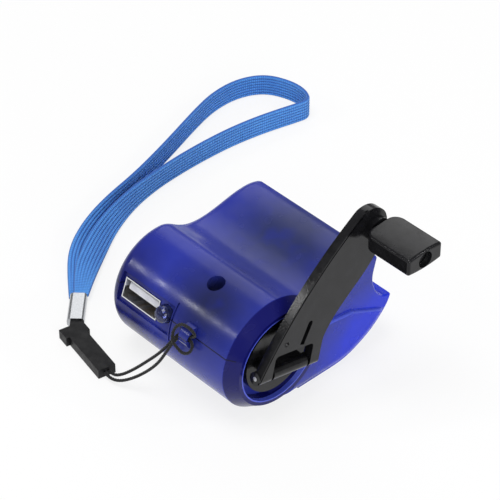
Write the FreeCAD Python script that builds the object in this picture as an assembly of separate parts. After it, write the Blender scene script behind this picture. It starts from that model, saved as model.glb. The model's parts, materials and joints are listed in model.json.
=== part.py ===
import FreeCAD, Part
import math
import os

from FreeCAD import Vector

# Hand crank phone charger, in millimetres.
#
# +Z is up, +X points to the side that carries the crank, +Y to the tail of the casing.
# Most pieces are drawn in crank coordinates, with their zero where the crank axis meets the plane
# of the casing's rim, and main() then moves them so that the origin of the part is the middle
# of its footprint, on the surface that it rests on.

# ---------------------------------------------------------------- casing
BARREL_RADIUS = 16.0
CASING_LENGTH = 46.8
TAIL_REACH = 41.0
WALL = 1.6
END_ROUNDING = 3.4
SIDE_ROUNDING = 0.7
LOWER_SIDE_ROUNDING = 3.4
SEAM_STEP_ROUNDING = 0.7
UPPER_SIDE_INSET = 1.0
TOP_BLEND_ANGLE = 93.0
# Points of the top's curve behind the barrel: y, and how far below the barrel's top.
TOP_CURVE = ((4.8, 1.7), (9.0, 4.0), (13.5, 4.9), (20.0, 4.3), (27.5, 2.8), (31.8, 2.6))
CLAW_FROM_TAIL = 5.8
CLAW_DROP = 3.4
CLAW_ROUNDING = 0.5
CLAW_HEADING = (0.94, -0.34)
LIP_HEADING = (-0.25, -0.97)
CHANNEL_FROM_TAIL = 7.1
CHANNEL_DROP = 10.6
LEDGE_DROP = 18.0
LEDGE_LENGTH = 3.1
LEDGE_LIP = 0.8
CHANNEL_START = (-0.2, -1.0)
CHANNEL_END = (0.97, -0.25)
INSET_STEPS = 16
FLAT_END_Y = 19.0
# Points under the tail: distance in from the tail's end, and height above the resting surface.
TAIL_BELLY = ((3.4, 7.8), (7.4, 4.4), (12.4, 1.8))

# Parting line of the two shells, on the crank side of the casing.
SEAM_FRONT_HEIGHT = 22.1
SEAM_BEND_Y = 26.0
SEAM_BEND_HEIGHT = 16.0
SEAM_TAIL_HEIGHT = 8.6

# Round recess for the crank disc, and the sloped band round it.
RIM_RADIUS = 13.6
RIM_SLOPE_DEPTH = 3.6
RECESS_RADIUS = 12.3
RECESS_DEPTH = 3.6
RECESS_FLOOR = 1.8
UPPER_BLEND_Y = 8.0
LOWER_BLEND_Y = 5.4
TAIL_CAVITY_Y = 17.5

# Front of the barrel: socket, lamp and lanyard eye.
PORT_ANGLE = 20.4
PORT_X = -36.0
PORT_POCKET_LEFT_X = -43.6
PORT_POCKET_RIGHT_X = -24.0
PORT_POCKET_HEIGHT = 8.4
PORT_POCKET_RADIUS = 14.9
PORT_GROOVE_X = -23.7
PORT_GROOVE_WIDTH = 0.5
PORT_GROOVE_DEPTH = 0.4
PORT_GROOVE_HALF_HEIGHT = 5.5
EYE_X = -16.5
EYE_ANGLE = 21.5
EYE_CENTRE_RADIUS = 15.6
EYE_RADIUS = 3.0
EYE_THICKNESS = 3.0
EYE_HOLE_RADIUS = 1.2
EYE_HOLE_OFFSET = 1.4

# ---------------------------------------------------------------- crank, arm and knob
DISC_RADIUS = 10.2
DISC_FRONT = -1.0
DISC_THICKNESS = 2.1
DISC_BOSS_RADIUS = 3.3
DISC_BOSS_TOP = 0.1
CRANK_SHAFT_RADIUS = 2.0
SHAFT_OUTER_X = -0.6
BUSH_RADIUS = 3.2
BUSH_FLANGE_RADIUS = 4.6
BUSH_FLANGE_THICKNESS = 0.35
HINGE_X = 2.4
HINGE_ANGLE = -12.1
HINGE_OFFSET = -1.2
HINGE_PIN_RADIUS = 0.6
KNUCKLE_RADIUS = 1.8
BARREL_START = -5.4
BARREL_END = 6.2
BLOCK_THICKNESS = 3.0
EAR_START = -10.5
EAR_END = 10.1
EAR_BACK_HEIGHT = 2.16
EAR_FRONT_HEIGHT = 7.92
EAR_GAP_HEIGHT = 6.0
EAR_GAP_MARGIN = 0.8
EAR_GAP_ROUNDING = 1.2
ARM_THICKNESS = 2.4
# Points of the arm's outline measured from the knob's axis: three round its tip, then front and back.
ARM_FROM_KNOB = ((-4.2, 5.9), (2.3, 4.6), (4.3, -0.8), (0.4, -9.2), (-19.1, -5.4))
ARM_WAIST = (3.6, 4.9)
KNOB_Y = 28.0
KNOB_Z = 29.0
KNOB_NEAR_X = 6.0
KNOB_REACH = 21.5
KNOB_WIDTH = 11.6
KNOB_EDGE_HEIGHT = 4.6
KNOB_CROWN = 0.5
KNOB_CORNER = 3.0
KNOB_EDGE_ROUNDING = 0.7
KNOB_NECK_RADIUS = 3.4
KNOB_SCREW_RADIUS = 1.5
KNOB_SCREW_HEAD_RADIUS = 2.0
KNOB_SCREW_HEAD_HEIGHT = 1.5
KNOB_RECESS_RADIUS = 2.25
KNOB_RECESS_DEPTH = 3.5
ARM_SLOT_TOP = (6.5, 10.3)
ARM_SLOT_LENGTH = 6.0
ARM_SLOT_WIDTH = 1.5
ARM_SLOT_ANGLE = -28.0
ARM_GROOVE_INSET = 0.25
ARM_GROOVE_WIDTH = 0.45
ARM_GROOVE_DEPTH = 0.5
ARM_BUMP_CENTRE = (-1.3, 7.7)
ARM_BUMP_RADIUS = 0.9
ARM_BUMP_HEIGHT = 0.5

# ---------------------------------------------------------------- gear train
MODULE = 0.5
PRESSURE_ANGLE = 25.0
ADDENDUM = 0.75
DEDENDUM = 1.0
BACKLASH = 0.14
CRANK_TEETH = 44
FIRST_PINION_TEETH = 10
FIRST_WHEEL_TEETH = 36
SECOND_PINION_TEETH = 9
SECOND_WHEEL_TEETH = 26
MOTOR_PINION_TEETH = 8
FIRST_IDLER_ANGLE = -4.0
PLATE_THICKNESS = 1.2
PLATE_CLEARANCE = 0.3
PLATE_START_Y = -4.0
PLATE_TONGUE_END_Y = 4.5
PLATE_TONGUE_HALF_HEIGHT = 3.6
PLATE_END_Y = 31.6
CRANK_GEAR_WIDTH = 2.2
GEAR_WIDTH = 2.0
LAYER_GAP = 0.4
AXLE_RADIUS = 0.75
SPACER_RADIUS = 1.4
SPACER_CENTRES = ((29.6, 3.0), (10.5, -12.6), (20.5, 8.0))
RIVET_RADIUS = 0.6
HUB_RADIUS = 1.5

# ---------------------------------------------------------------- generator
MOTOR_Y = 21.8
MOTOR_Z = 1.9
MOTOR_RADIUS = BARREL_RADIUS - 6.0
MOTOR_HALF_HEIGHT = BARREL_RADIUS - 8.5
MOTOR_LENGTH = 25.0
MOTOR_WALL = 0.8
MOTOR_CAP_THICKNESS = 2.2
MOTOR_SHAFT_RADIUS = 1.0
MAGNET_THICKNESS = 1.6
MAGNET_HALF_ANGLE = 50.0
ARMATURE_GAP = 0.5
ARMATURE_END_SPACE = 1.0
COMMUTATOR_RADIUS = 2.2
COMMUTATOR_LENGTH = 3.0
TERMINAL_OFFSET = 4.5
TERMINAL_SIZE = (1.6, 1.8, 0.4)

# ---------------------------------------------------------------- electronics
USB_WIDTH = 13.1
USB_HEIGHT = 5.7
USB_DEPTH = 14.0
USB_WALL = 0.3
USB_FACE_RADIUS = 15.2
TONGUE_WIDTH = 11.1
TONGUE_THICKNESS = 1.84
TONGUE_RECESS = 1.0
TONGUE_TOP_GAP = 0.9
CONTACT_LENGTH = 7.5
CONTACT_WIDTH = 1.0
CONTACT_THICKNESS = 0.25
CONTACT_PITCHES = (-3.5, -1.0, 1.0, 3.5)
BOARD_THICKNESS = 1.2
BOARD_LEFT_X = -43.8
BOARD_RIGHT_X = -22.6
BOARD_FRONT_Y = -13.1
BOARD_BACK_Y = 3.0
LAMP_X = -26.7
LAMP_RISE = 0.7
LAMP_RADIUS = 2.4
LAMP_FLANGE_RADIUS = 2.6
LAMP_TIP_RADIUS = 18.2
LAMP_LENGTH = 8.6
LAMP_FLANGE_THICKNESS = 1.0
LAMP_LEG_WIDTH = 0.5
LAMP_LEG_SPACING = 1.27
CAPACITOR_RADIUS = 2.5
CAPACITOR_HEIGHT = 6.4
CAPACITOR_PLACE = (-25.4, -1.0)
REGULATOR_SIZE = (5.0, 4.0, 1.6)
REGULATOR_PLACE = (-34.0, -7.0)
DIODE_SIZE = (2.6, 4.2, 1.8)
DIODE_FIRST_X = -41.6
DIODE_PITCH = 4.2
DIODE_Y = 0.4
WIRE_RADIUS = 0.5
WIRE_DROP_Y = 8.0

# ---------------------------------------------------------------- casing screws
SCREW_HEAD_RADIUS = 2.0
SCREW_HEAD_HEIGHT = 1.5
SCREW_RADIUS = 1.0
SCREW_LENGTH = 9.0
SCREW_HOLE_RADIUS = 2.35
SCREW_SLOT_WIDTH = 0.6
SCREW_SLOT_DEPTH = 0.7
TOP_SCREW = (-18.5, -4.2)
TOP_SCREW_SEAT = 8.0
UNDER_SCREWS = ((-38.4, 7.4), (-22.4, 7.4))
UNDER_SCREW_SEAT = -1.5
BOSS_RADIUS = 3.2
POST_RADIUS = 2.3

# ---------------------------------------------------------------- lanyard
STRING_RADIUS = 0.45
CLIP_WIDTH = 5.0
CLIP_HEIGHT = 2.8
CLIP_LENGTH = 19.4
CLIP_HEAD_LENGTH = 4.0
CLIP_HEAD_WIDTH = 7.0
CLIP_NECK_LENGTH = 4.0
CLIP_NECK_WIDTH = 2.6
CLIP_NECK_HEIGHT = 1.8
CRIMP_LENGTH = 10.5
CRIMP_WIDTH = 4.6
CRIMP_HEIGHT = 2.8
STRAP_THICKNESS = 1.1
STRAP_WIDTH = 6.8

# ---------------------------------------------------------------- clearances
RUNNING_GAP = 0.06
SIDE_GAP = 0.1
ROOMY_GAP = 0.3

# The part's footprint runs from the lanyard eye to the tail, and from the casing's closed end to
# the knob's outer end. Its middle is the origin.
EYE_REACH = EYE_CENTRE_RADIUS * math.cos(math.radians(EYE_ANGLE)) + EYE_RADIUS

# Stations along the crank axis, outermost first.
ARM_FRONT_X = HINGE_X + KNUCKLE_RADIUS
FLOOR_X = -RECESS_DEPTH
CAVITY_X = FLOOR_X - RECESS_FLOOR
OUTER_PLATE_X = CAVITY_X - PLATE_CLEARANCE
CRANK_GEAR_X = OUTER_PLATE_X - PLATE_THICKNESS - LAYER_GAP
FIRST_WHEEL_X = CRANK_GEAR_X - CRANK_GEAR_WIDTH - LAYER_GAP
SECOND_WHEEL_X = FIRST_WHEEL_X - GEAR_WIDTH - LAYER_GAP
INNER_PLATE_X = SECOND_WHEEL_X - GEAR_WIDTH - LAYER_GAP
MOTOR_FRONT_X = INNER_PLATE_X - PLATE_THICKNESS
MOTOR_BACK_X = MOTOR_FRONT_X - MOTOR_LENGTH
LEFT_X = -CASING_LENGTH
FAR = 100.0

# Routes of the free cords, in the part's own frame. Their points are chosen by hand.
STRING_ROUTE = [
    (-25.37, -35.71, 1.4),
    (-23.20, -36.13, 1.4),
    (-20.4, -34.9, 1.8),
    (-17.6, -33.0, 3.6),
    (-14.6, -31.8, 7.0),
    (-11.4, -30.9, 11.3),
    (-8.8, -29.8, 15.6),
    (-7.2, -28.6, 19.6),
    (-5.9, -27.8, 21.9),
    (-1.7, -27.5, 22.4),
    (-0.7, -29.3, 21.9),
    (-2.4, -30.9, 20.2),
    (-6.2, -31.6, 16.2),
    (-10.0, -31.9, 11.0),
    (-13.5, -32.6, 6.9),
    (-17.0, -34.0, 3.6),
    (-20.3, -36.0, 1.8),
    (-23.42, -37.31, 1.4),
    (-25.61, -36.89, 1.4),
]
STRAP_ROUTE = [
    (-53.93, -23.18),
    (-60.35, -16.89),
    (-67.2, -10.9),
    (-72.2, -2.2),
    (-76.0, 7.6),
    (-79.2, 18.4),
    (-82.6, 29.4),
    (-86.4, 40.4),
    (-90.4, 51.2),
    (-93.7, 61.8),
    (-93.9, 71.8),
    (-90.2, 79.6),
    (-82.6, 82.9),
    (-76.4, 83.0),
    (-71.9, 80.6),
    (-72.9, 75.8),
    (-74.5, 69.4),
    (-75.9, 62.6),
    (-77.0, 54.4),
    (-77.4, 45.0),
    (-77.2, 34.8),
    (-76.3, 24.4),
    (-74.2, 13.4),
    (-70.4, 2.6),
    (-65.4, -6.6),
    (-59.31, -15.82),
    (-52.88, -22.12),
]
CLIP_END = (-25.5, -36.3)
CLIP_HEADING = 169.1
CRIMP_START = (-45.9, -30.0)
CRIMP_HEADING = 135.6


# ---------------------------------------------------------------- helpers
def own_frame_shift(block):
    """Shift from crank coordinates to the part's own frame, whose origin is mid-footprint."""
    tail_end = block.optimalBoundingBox().YMax
    return Vector((CASING_LENGTH - KNOB_REACH) / 2, (EYE_REACH - tail_end) / 2, BARREL_RADIUS)


def save(name, shape):
    """Write one node as a STEP file after checking that it is sound."""
    if not shape.isValid():
        raise ValueError(name + " is not a valid shape")
    shape.exportStep("parts/" + name + ".step")


def box(x, y, z):
    """Box between two limits on each axis."""
    low = Vector(min(x), min(y), min(z))
    return Part.makeBox(abs(x[1] - x[0]), abs(y[1] - y[0]), abs(z[1] - z[0]), low)


def rod(radius, x_start, x_end, y=0.0, z=0.0):
    """Cylinder along X between two stations."""
    low = min(x_start, x_end)
    return Part.makeCylinder(radius, abs(x_end - x_start), Vector(low, y, z), Vector(1, 0, 0))


def post(radius, z_start, z_end, x, y):
    """Cylinder along Z between two heights."""
    low = min(z_start, z_end)
    return Part.makeCylinder(radius, abs(z_end - z_start), Vector(x, y, low))


def prism(face, x_start, x_end):
    """Extrude a face that lies in the plane x = 0 between two stations."""
    low = min(x_start, x_end)
    return face.translated(Vector(low, 0, 0)).extrude(Vector(abs(x_end - x_start), 0, 0))


def spline(points, start=None, end=None):
    """Smooth curve in the plane x = 0 through (y, z) points, with optional end directions."""
    curve = Part.BSplineCurve()
    vectors = [Vector(0, y, z) for y, z in points]
    if start is None:
        curve.interpolate(vectors)
    else:
        curve.interpolate(vectors, InitialTangent=Vector(0, *start), FinalTangent=Vector(0, *end))
    return curve.toShape()


def segment(start, end):
    """Straight edge in the plane x = 0."""
    return Part.makeLine(Vector(0, *start), Vector(0, *end))


def arc(start, middle, end):
    """Circular edge through three (y, z) points of the plane x = 0."""
    return Part.Arc(Vector(0, *start), Vector(0, *middle), Vector(0, *end)).toShape()


def fuse(shapes):
    """Join shapes into one and merge faces that lie in one surface."""
    joined = shapes[0]
    for shape in shapes[1:]:
        joined = joined.fuse(shape)
    return joined.removeSplitter()


def on_barrel(radius, angle):
    """Point in the y-z plane at a radius and an angle above the front horizontal."""
    turn = math.radians(angle)
    return (-radius * math.cos(turn), radius * math.sin(turn))


def tilt_to_port(shape):
    """Turn a shape drawn for a socket that faces straight forward to the socket's real angle."""
    return shape.rotated(Vector(0, 0, 0), Vector(1, 0, 0), -PORT_ANGLE)


def corner_arc(before, corner, after, first_length, last_length):
    """Tangent arc at a corner of a route, as large as the two runs allow, and its radius."""
    incoming = (corner - before).normalize()
    outgoing = (after - corner).normalize()
    turn = incoming.getAngle(outgoing)
    shorter = min(first_length, last_length)
    setback = 0.45 * shorter
    start = corner - incoming * setback
    end = corner + outgoing * setback
    radius = setback / math.tan(turn / 2)
    bisector = (outgoing - incoming).normalize()
    centre = corner + bisector * (radius / math.cos(turn / 2))
    middle = centre - bisector * radius
    return start, middle, end, radius


def route_wire(points):
    """Path of straight runs joined by tangent arcs, with the smallest radius of its bends."""
    vectors = [Vector(*point) for point in points]
    lengths = [b.distanceToPoint(a) for a, b in zip(vectors, vectors[1:])]
    edges = []
    radii = []
    place = vectors[0]
    for index in range(1, len(vectors) - 1):
        start, middle, end, radius = corner_arc(
            vectors[index - 1], vectors[index], vectors[index + 1],
            lengths[index - 1], lengths[index])
        edges.append(Part.LineSegment(place, start).toShape())
        edges.append(Part.Arc(start, middle, end).toShape())
        radii.append(radius)
        place = end
    edges.append(Part.LineSegment(place, vectors[-1]).toShape())
    return Part.Wire(edges), radii


def tube(name, points, radius):
    """Round cord along a route; prints its bends and how its volume compares."""
    path, radii = route_wire(points)
    heading = (Vector(*points[1]) - Vector(*points[0])).normalize()
    ring = Part.Wire([Part.makeCircle(radius, Vector(*points[0]), heading)])
    solid = path.makePipeShell([ring], True, False)
    expected = math.pi * radius ** 2 * path.Length
    print(name, "length", round(path.Length, 1), "radii", [round(r, 1) for r in radii],
          "volume ratio", round(solid.Volume / expected, 4))
    return solid


def ribbon(name, points, thickness, width):
    """Flat strap that stands on its edge on the ground along a level route."""
    level = width / 2
    path, radii = route_wire([(x, y, level) for x, y in points])
    heading = Vector(points[1][0] - points[0][0], points[1][1] - points[0][1], 0).normalize()
    side = Vector(-heading.y, heading.x, 0) * (thickness / 2)
    rise = Vector(0, 0, width / 2)
    start = Vector(points[0][0], points[0][1], level)
    corners = [start + side - rise, start + side + rise, start - side + rise, start - side - rise]
    section = Part.makePolygon(corners + corners[:1])
    solid = path.makePipeShell([section], True, True)
    expected = thickness * width * path.Length
    print(name, "length", round(path.Length, 1), "radii", [round(r, 1) for r in radii],
          "volume ratio", round(solid.Volume / expected, 4))
    return solid


# ---------------------------------------------------------------- casing
def casing_edges():
    """Side outline of the casing before the channel is cut in its tail, in the plane x = 0."""
    turn = math.radians(TOP_BLEND_ANGLE)
    top = on_barrel(BARREL_RADIUS, TOP_BLEND_ANGLE)
    over_top = [(y, BARREL_RADIUS - drop) for y, drop in TOP_CURVE]
    claw = claw_tip()
    shoulder = (TAIL_REACH - LEDGE_LIP, BARREL_RADIUS - CHANNEL_DROP)
    lip = tail_lip()
    belly = [(TAIL_REACH - reach, height - BARREL_RADIUS) for reach, height in TAIL_BELLY]
    flat_end = (FLAT_END_Y, -BARREL_RADIUS)
    bottom = (0.0, -BARREL_RADIUS)
    return [
        spline([top] + over_top + [claw], (math.sin(turn), math.cos(turn)), CLAW_HEADING),
        spline([claw, shoulder, lip], CLAW_HEADING, LIP_HEADING),
        spline([lip] + belly + [flat_end], LIP_HEADING, (-1.0, 0.0)),
        segment(flat_end, bottom),
        arc(bottom, (-BARREL_RADIUS, 0.0), top),
    ]


def claw_tip():
    """Point where the top of the casing ends above the tail's channel."""
    return (TAIL_REACH - CLAW_FROM_TAIL, BARREL_RADIUS - CLAW_DROP)


def tail_lip():
    """Point where the ledge under the channel meets the tail's outer surface."""
    return (TAIL_REACH, BARREL_RADIUS - LEDGE_DROP - LEDGE_LIP)


def inset_edge(edge, inset):
    """Curve drawn in from an outline edge that runs round the body with the body on its right."""
    first, last = edge.ParameterRange
    points = []
    headings = []
    for index in range(INSET_STEPS + 1):
        parameter = first + (last - first) * index / INSET_STEPS
        place = edge.valueAt(parameter)
        heading = edge.tangentAt(parameter)
        points.append((place.y + inset * heading.z, place.z - inset * heading.y))
        headings.append((heading.y, heading.z))
    if isinstance(edge.Curve, Part.Line):
        return segment(points[0], points[-1])
    if isinstance(edge.Curve, Part.Circle):
        return arc(points[0], points[INSET_STEPS // 2], points[-1])
    return spline(points, headings[0], headings[-1])


def casing_face(inset=0.0):
    """Side face of the casing without its channel, drawn in by an inset."""
    edges = casing_edges()
    if inset > 0:
        edges = [inset_edge(edge, inset) for edge in edges]
    return Part.Face(Part.Wire(edges))


def tail_channel(inset=0.0):
    """Space taken out of the tail by the channel that the folded knob swings past."""
    claw = claw_tip()
    lip = tail_lip()
    channel = (TAIL_REACH - CHANNEL_FROM_TAIL, BARREL_RADIUS - CHANNEL_DROP)
    floor = (lip[0] - LEDGE_LENGTH, lip[1] + LEDGE_LIP)
    wall = spline([claw, channel, floor, lip], CHANNEL_START, CHANNEL_END)
    if inset > 0:
        wall = inset_edge(wall, inset)
    start = wall.valueAt(wall.FirstParameter)
    end = wall.valueAt(wall.LastParameter)
    rest = [(end.y, end.z), (FAR, end.z), (FAR, FAR), (start.y, FAR), (start.y, start.z)]
    edges = [wall] + [segment(one, other) for one, other in zip(rest, rest[1:])]
    return prism(Part.Face(Part.Wire(edges)), -FAR, FAR)


def below_seam(x_start, x_end):
    """Region below the parting line, as a long prism."""
    front_y = on_barrel(BARREL_RADIUS, EYE_ANGLE)[0]
    slope = (SEAM_BEND_HEIGHT - SEAM_FRONT_HEIGHT) / (SEAM_BEND_Y - front_y)
    start = (-FAR, SEAM_FRONT_HEIGHT - BARREL_RADIUS + slope * (-FAR - front_y))
    bend = (SEAM_BEND_Y, SEAM_BEND_HEIGHT - BARREL_RADIUS)
    tail_slope = (SEAM_TAIL_HEIGHT - SEAM_BEND_HEIGHT) / (TAIL_REACH - SEAM_BEND_Y)
    end = (FAR, bend[1] + tail_slope * (FAR - SEAM_BEND_Y))
    corners = [start, bend, end, (FAR, -2 * FAR), (-FAR, -2 * FAR)]
    vectors = [Vector(0, y, z) for y, z in corners]
    return prism(Part.Face(Part.makePolygon(vectors + vectors[:1])), x_start, x_end)


def seam_height(y):
    """Height of the parting line above the crank axis, in front of its bend."""
    front_y = on_barrel(BARREL_RADIUS, EYE_ANGLE)[0]
    slope = (SEAM_BEND_HEIGHT - SEAM_FRONT_HEIGHT) / (SEAM_BEND_Y - front_y)
    return SEAM_FRONT_HEIGHT - BARREL_RADIUS + slope * (y - front_y)


def edges_at(shape, station, tolerance=0.01):
    """Edges that lie wholly in the plane x = station."""
    found = []
    for edge in shape.Edges:
        limits = edge.BoundBox
        if abs(limits.XMin - station) < tolerance and abs(limits.XMax - station) < tolerance:
            found.append(edge)
    return found


def long_edges_at(shape, corner, tolerance=0.01):
    """Straight edges along X that pass through a (y, z) point."""
    found = []
    for edge in shape.Edges:
        limits = edge.BoundBox
        straight = limits.YLength + limits.ZLength < tolerance
        if straight and math.hypot(limits.YMin - corner[0], limits.ZMin - corner[1]) < tolerance:
            found.append(edge)
    return found


def behind_ring(start_y, slant):
    """Region behind the ring, whose front face leans back by the slant over the rim's slope."""
    corners = [
        (-FAR, start_y),
        (-RIM_SLOPE_DEPTH, start_y),
        (0.0, start_y + slant),
        (FAR, start_y + slant),
        (FAR, FAR),
        (-FAR, FAR),
    ]
    vectors = [Vector(x, y, -FAR) for x, y in corners]
    return Part.Face(Part.makePolygon(vectors + vectors[:1])).extrude(Vector(0, 0, 2 * FAR))


def outer_edges(side, bottom, top):
    """Edges along the casing at its crank side, whose lowest point lies between two heights."""
    found = []
    for edge in edges_at(side, 0):
        limits = edge.BoundBox
        if limits.YLength > WALL and bottom < limits.ZMin < top:
            found.append(edge)
    return found


def lower_side(face):
    """Crank side of the casing under the parting line, well rounded along the bottom."""
    side = prism(face, -RIM_SLOPE_DEPTH - WALL, 0).common(below_seam(-FAR, FAR))
    side = side.common(box((-FAR, FAR), (0, FAR), (-FAR, FAR)))
    side = side.makeFillet(LOWER_SIDE_ROUNDING, outer_edges(side, -FAR, WALL - BARREL_RADIUS))
    side = side.makeFillet(SEAM_STEP_ROUNDING, outer_edges(side, -BARREL_RADIUS / 2, FAR))
    return side.common(behind_ring(0.0, LOWER_BLEND_Y))


def casing_block():
    """Outer form of both shells together, before it is hollowed."""
    face = casing_face()
    main = prism(face, LEFT_X, -RIM_SLOPE_DEPTH)
    main = main.makeFillet(END_ROUNDING, edges_at(main, LEFT_X))
    ring = Part.makeCone(BARREL_RADIUS, RIM_RADIUS, RIM_SLOPE_DEPTH,
                         Vector(-RIM_SLOPE_DEPTH, 0, 0), Vector(1, 0, 0))
    upper_side = prism(face, -RIM_SLOPE_DEPTH - WALL, -UPPER_SIDE_INSET)
    upper_side = upper_side.makeFillet(SIDE_ROUNDING, edges_at(upper_side, -UPPER_SIDE_INSET))
    block = fuse([main, ring, upper_side.common(behind_ring(UPPER_BLEND_Y, 0.0)), lower_side(face)])
    block = block.cut(tail_channel())
    return block.makeFillet(CLAW_ROUNDING, long_edges_at(block, claw_tip()))


def casing_cavity():
    """Hollow inside the shells: the main room, and the tail's room beside the crank recess."""
    face = casing_face(WALL)
    main = prism(face, LEFT_X + WALL, CAVITY_X)
    tail_limit = box((-FAR, FAR), (TAIL_CAVITY_Y, FAR), (-FAR, FAR))
    tail = prism(face, CAVITY_X - WALL, -UPPER_SIDE_INSET - WALL).common(tail_limit)
    return main.fuse(tail).cut(tail_channel(WALL))


def port_cuts():
    """Pocket and openings for the socket and the lamp, and the groove beside them."""
    half = PORT_POCKET_HEIGHT / 2
    pocket = box((PORT_POCKET_LEFT_X, PORT_POCKET_RIGHT_X), (-FAR, -PORT_POCKET_RADIUS), (-half, half))
    usb_half = USB_WIDTH / 2 + SIDE_GAP
    rise = USB_HEIGHT / 2 + SIDE_GAP
    socket = box((PORT_X - usb_half, PORT_X + usb_half), (-FAR, -BARREL_RADIUS / 2), (-rise, rise))
    lamp = Part.makeCylinder(LAMP_RADIUS + SIDE_GAP, FAR, Vector(LAMP_X, -BARREL_RADIUS / 2, LAMP_RISE),
                             Vector(0, -1, 0))
    groove_outer = rod(BARREL_RADIUS + WALL, PORT_GROOVE_X, PORT_GROOVE_X + PORT_GROOVE_WIDTH)
    groove_bottom = BARREL_RADIUS - PORT_GROOVE_DEPTH
    groove_inner = rod(groove_bottom, PORT_GROOVE_X, PORT_GROOVE_X + PORT_GROOVE_WIDTH)
    groove_window = box((-FAR, FAR), (-FAR, 0), (-PORT_GROOVE_HALF_HEIGHT, PORT_GROOVE_HALF_HEIGHT))
    groove = groove_outer.cut(groove_inner).common(groove_window)
    return [tilt_to_port(cut) for cut in (pocket, socket, lamp, groove)]


def eye_disc(radius, thickness):
    """Round tab of the lanyard eye, across the crank axis."""
    y, z = on_barrel(EYE_CENTRE_RADIUS, EYE_ANGLE)
    return rod(radius, EYE_X - thickness / 2, EYE_X + thickness / 2, y, z)


def lanyard_eye():
    """Tab with a hole through it that the lanyard string is looped in."""
    y, z = on_barrel(EYE_CENTRE_RADIUS + EYE_HOLE_OFFSET, EYE_ANGLE)
    hole = rod(EYE_HOLE_RADIUS, EYE_X - EYE_THICKNESS, EYE_X + EYE_THICKNESS, y, z)
    inside = rod(BARREL_RADIUS - WALL, EYE_X - EYE_THICKNESS, EYE_X + EYE_THICKNESS)
    return eye_disc(EYE_RADIUS, EYE_THICKNESS).cut(inside).cut(hole)


def shared_cuts():
    """Cuts that go through both shells: crank recess, shaft bore and front openings."""
    recess = rod(RECESS_RADIUS, FLOOR_X, WALL)
    bore = rod(BUSH_RADIUS, CAVITY_X - WALL, FLOOR_X + WALL)
    return [recess, bore] + port_cuts()


def upper_shell(block, cavity):
    """Upper half of the casing with its screw bosses."""
    x, y = TOP_SCREW
    top_boss = post(BOSS_RADIUS, seam_height(y - BOSS_RADIUS), BARREL_RADIUS, x, y)
    bosses = [top_boss]
    for under_x, under_y in UNDER_SCREWS:
        bosses.append(post(POST_RADIUS, seam_height(under_y - POST_RADIUS), BARREL_RADIUS, under_x, under_y))
    inside = Part.makeCompound(bosses).common(block)
    shell = fuse([block.cut(cavity)] + inside.Solids)
    shell = shell.cut(below_seam(-FAR, FAR))
    shell = shell.cut(post(SCREW_HOLE_RADIUS, TOP_SCREW_SEAT, FAR, x, y))
    shell = shell.cut(post(SCREW_RADIUS + SIDE_GAP, -BARREL_RADIUS, TOP_SCREW_SEAT, x, y))
    for under_x, under_y in UNDER_SCREWS:
        tip = UNDER_SCREW_SEAT + SCREW_LENGTH
        shell = shell.cut(post(SCREW_RADIUS, -BARREL_RADIUS, tip, under_x, under_y))
    for cut in shared_cuts():
        shell = shell.cut(cut)
    return shell.cut(eye_disc(EYE_RADIUS + SIDE_GAP, EYE_THICKNESS + 2 * SIDE_GAP))


def lower_shell(block, cavity):
    """Lower half of the casing with its screw posts and the lanyard eye."""
    x, y = TOP_SCREW
    posts = [post(POST_RADIUS, -BARREL_RADIUS, seam_height(y + POST_RADIUS), x, y)]
    for under_x, under_y in UNDER_SCREWS:
        posts.append(post(BOSS_RADIUS, -BARREL_RADIUS, seam_height(under_y + BOSS_RADIUS), under_x, under_y))
    inside = Part.makeCompound(posts).common(block)
    shell = fuse([block.cut(cavity)] + inside.Solids)
    shell = shell.common(below_seam(-FAR, FAR))
    shell = shell.cut(post(SCREW_RADIUS, TOP_SCREW_SEAT - SCREW_LENGTH, BARREL_RADIUS, x, y))
    for under_x, under_y in UNDER_SCREWS:
        head = UNDER_SCREW_SEAT
        shell = shell.cut(post(SCREW_HOLE_RADIUS, -FAR, head, under_x, under_y))
        shell = shell.cut(post(SCREW_RADIUS + SIDE_GAP, head, BARREL_RADIUS, under_x, under_y))
    for cut in shared_cuts():
        shell = shell.cut(cut)
    clear = eye_disc(EYE_RADIUS, EYE_THICKNESS)
    return shell.cut(clear).fuse(lanyard_eye()).removeSplitter()


def casing_screw(x, y, seat, pointing_down):
    """Cheese-head screw with a slot, its head resting on the seat."""
    shank = post(SCREW_RADIUS, -SCREW_LENGTH, 0, 0, 0)
    head = post(SCREW_HEAD_RADIUS, 0, SCREW_HEAD_HEIGHT, 0, 0)
    half = SCREW_SLOT_WIDTH / 2
    bottom = SCREW_HEAD_HEIGHT - SCREW_SLOT_DEPTH
    slot = box((-half, half), (-SCREW_HEAD_RADIUS, SCREW_HEAD_RADIUS), (bottom, SCREW_HEAD_HEIGHT))
    screw = shank.fuse(head).removeSplitter().cut(slot)
    if not pointing_down:
        screw = screw.rotated(Vector(0, 0, 0), Vector(1, 0, 0), 180)
    return screw.translated(Vector(x, y, seat))


def casing_screws():
    """The screw sunk in the barrel's top and the two from underneath."""
    screws = [casing_screw(TOP_SCREW[0], TOP_SCREW[1], TOP_SCREW_SEAT, True)]
    for x, y in UNDER_SCREWS:
        screws.append(casing_screw(x, y, UNDER_SCREW_SEAT, False))
    return Part.makeCompound(screws)


# ---------------------------------------------------------------- gears
def pitch_radius(teeth):
    """Pitch radius of a gear."""
    return MODULE * teeth / 2


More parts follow.
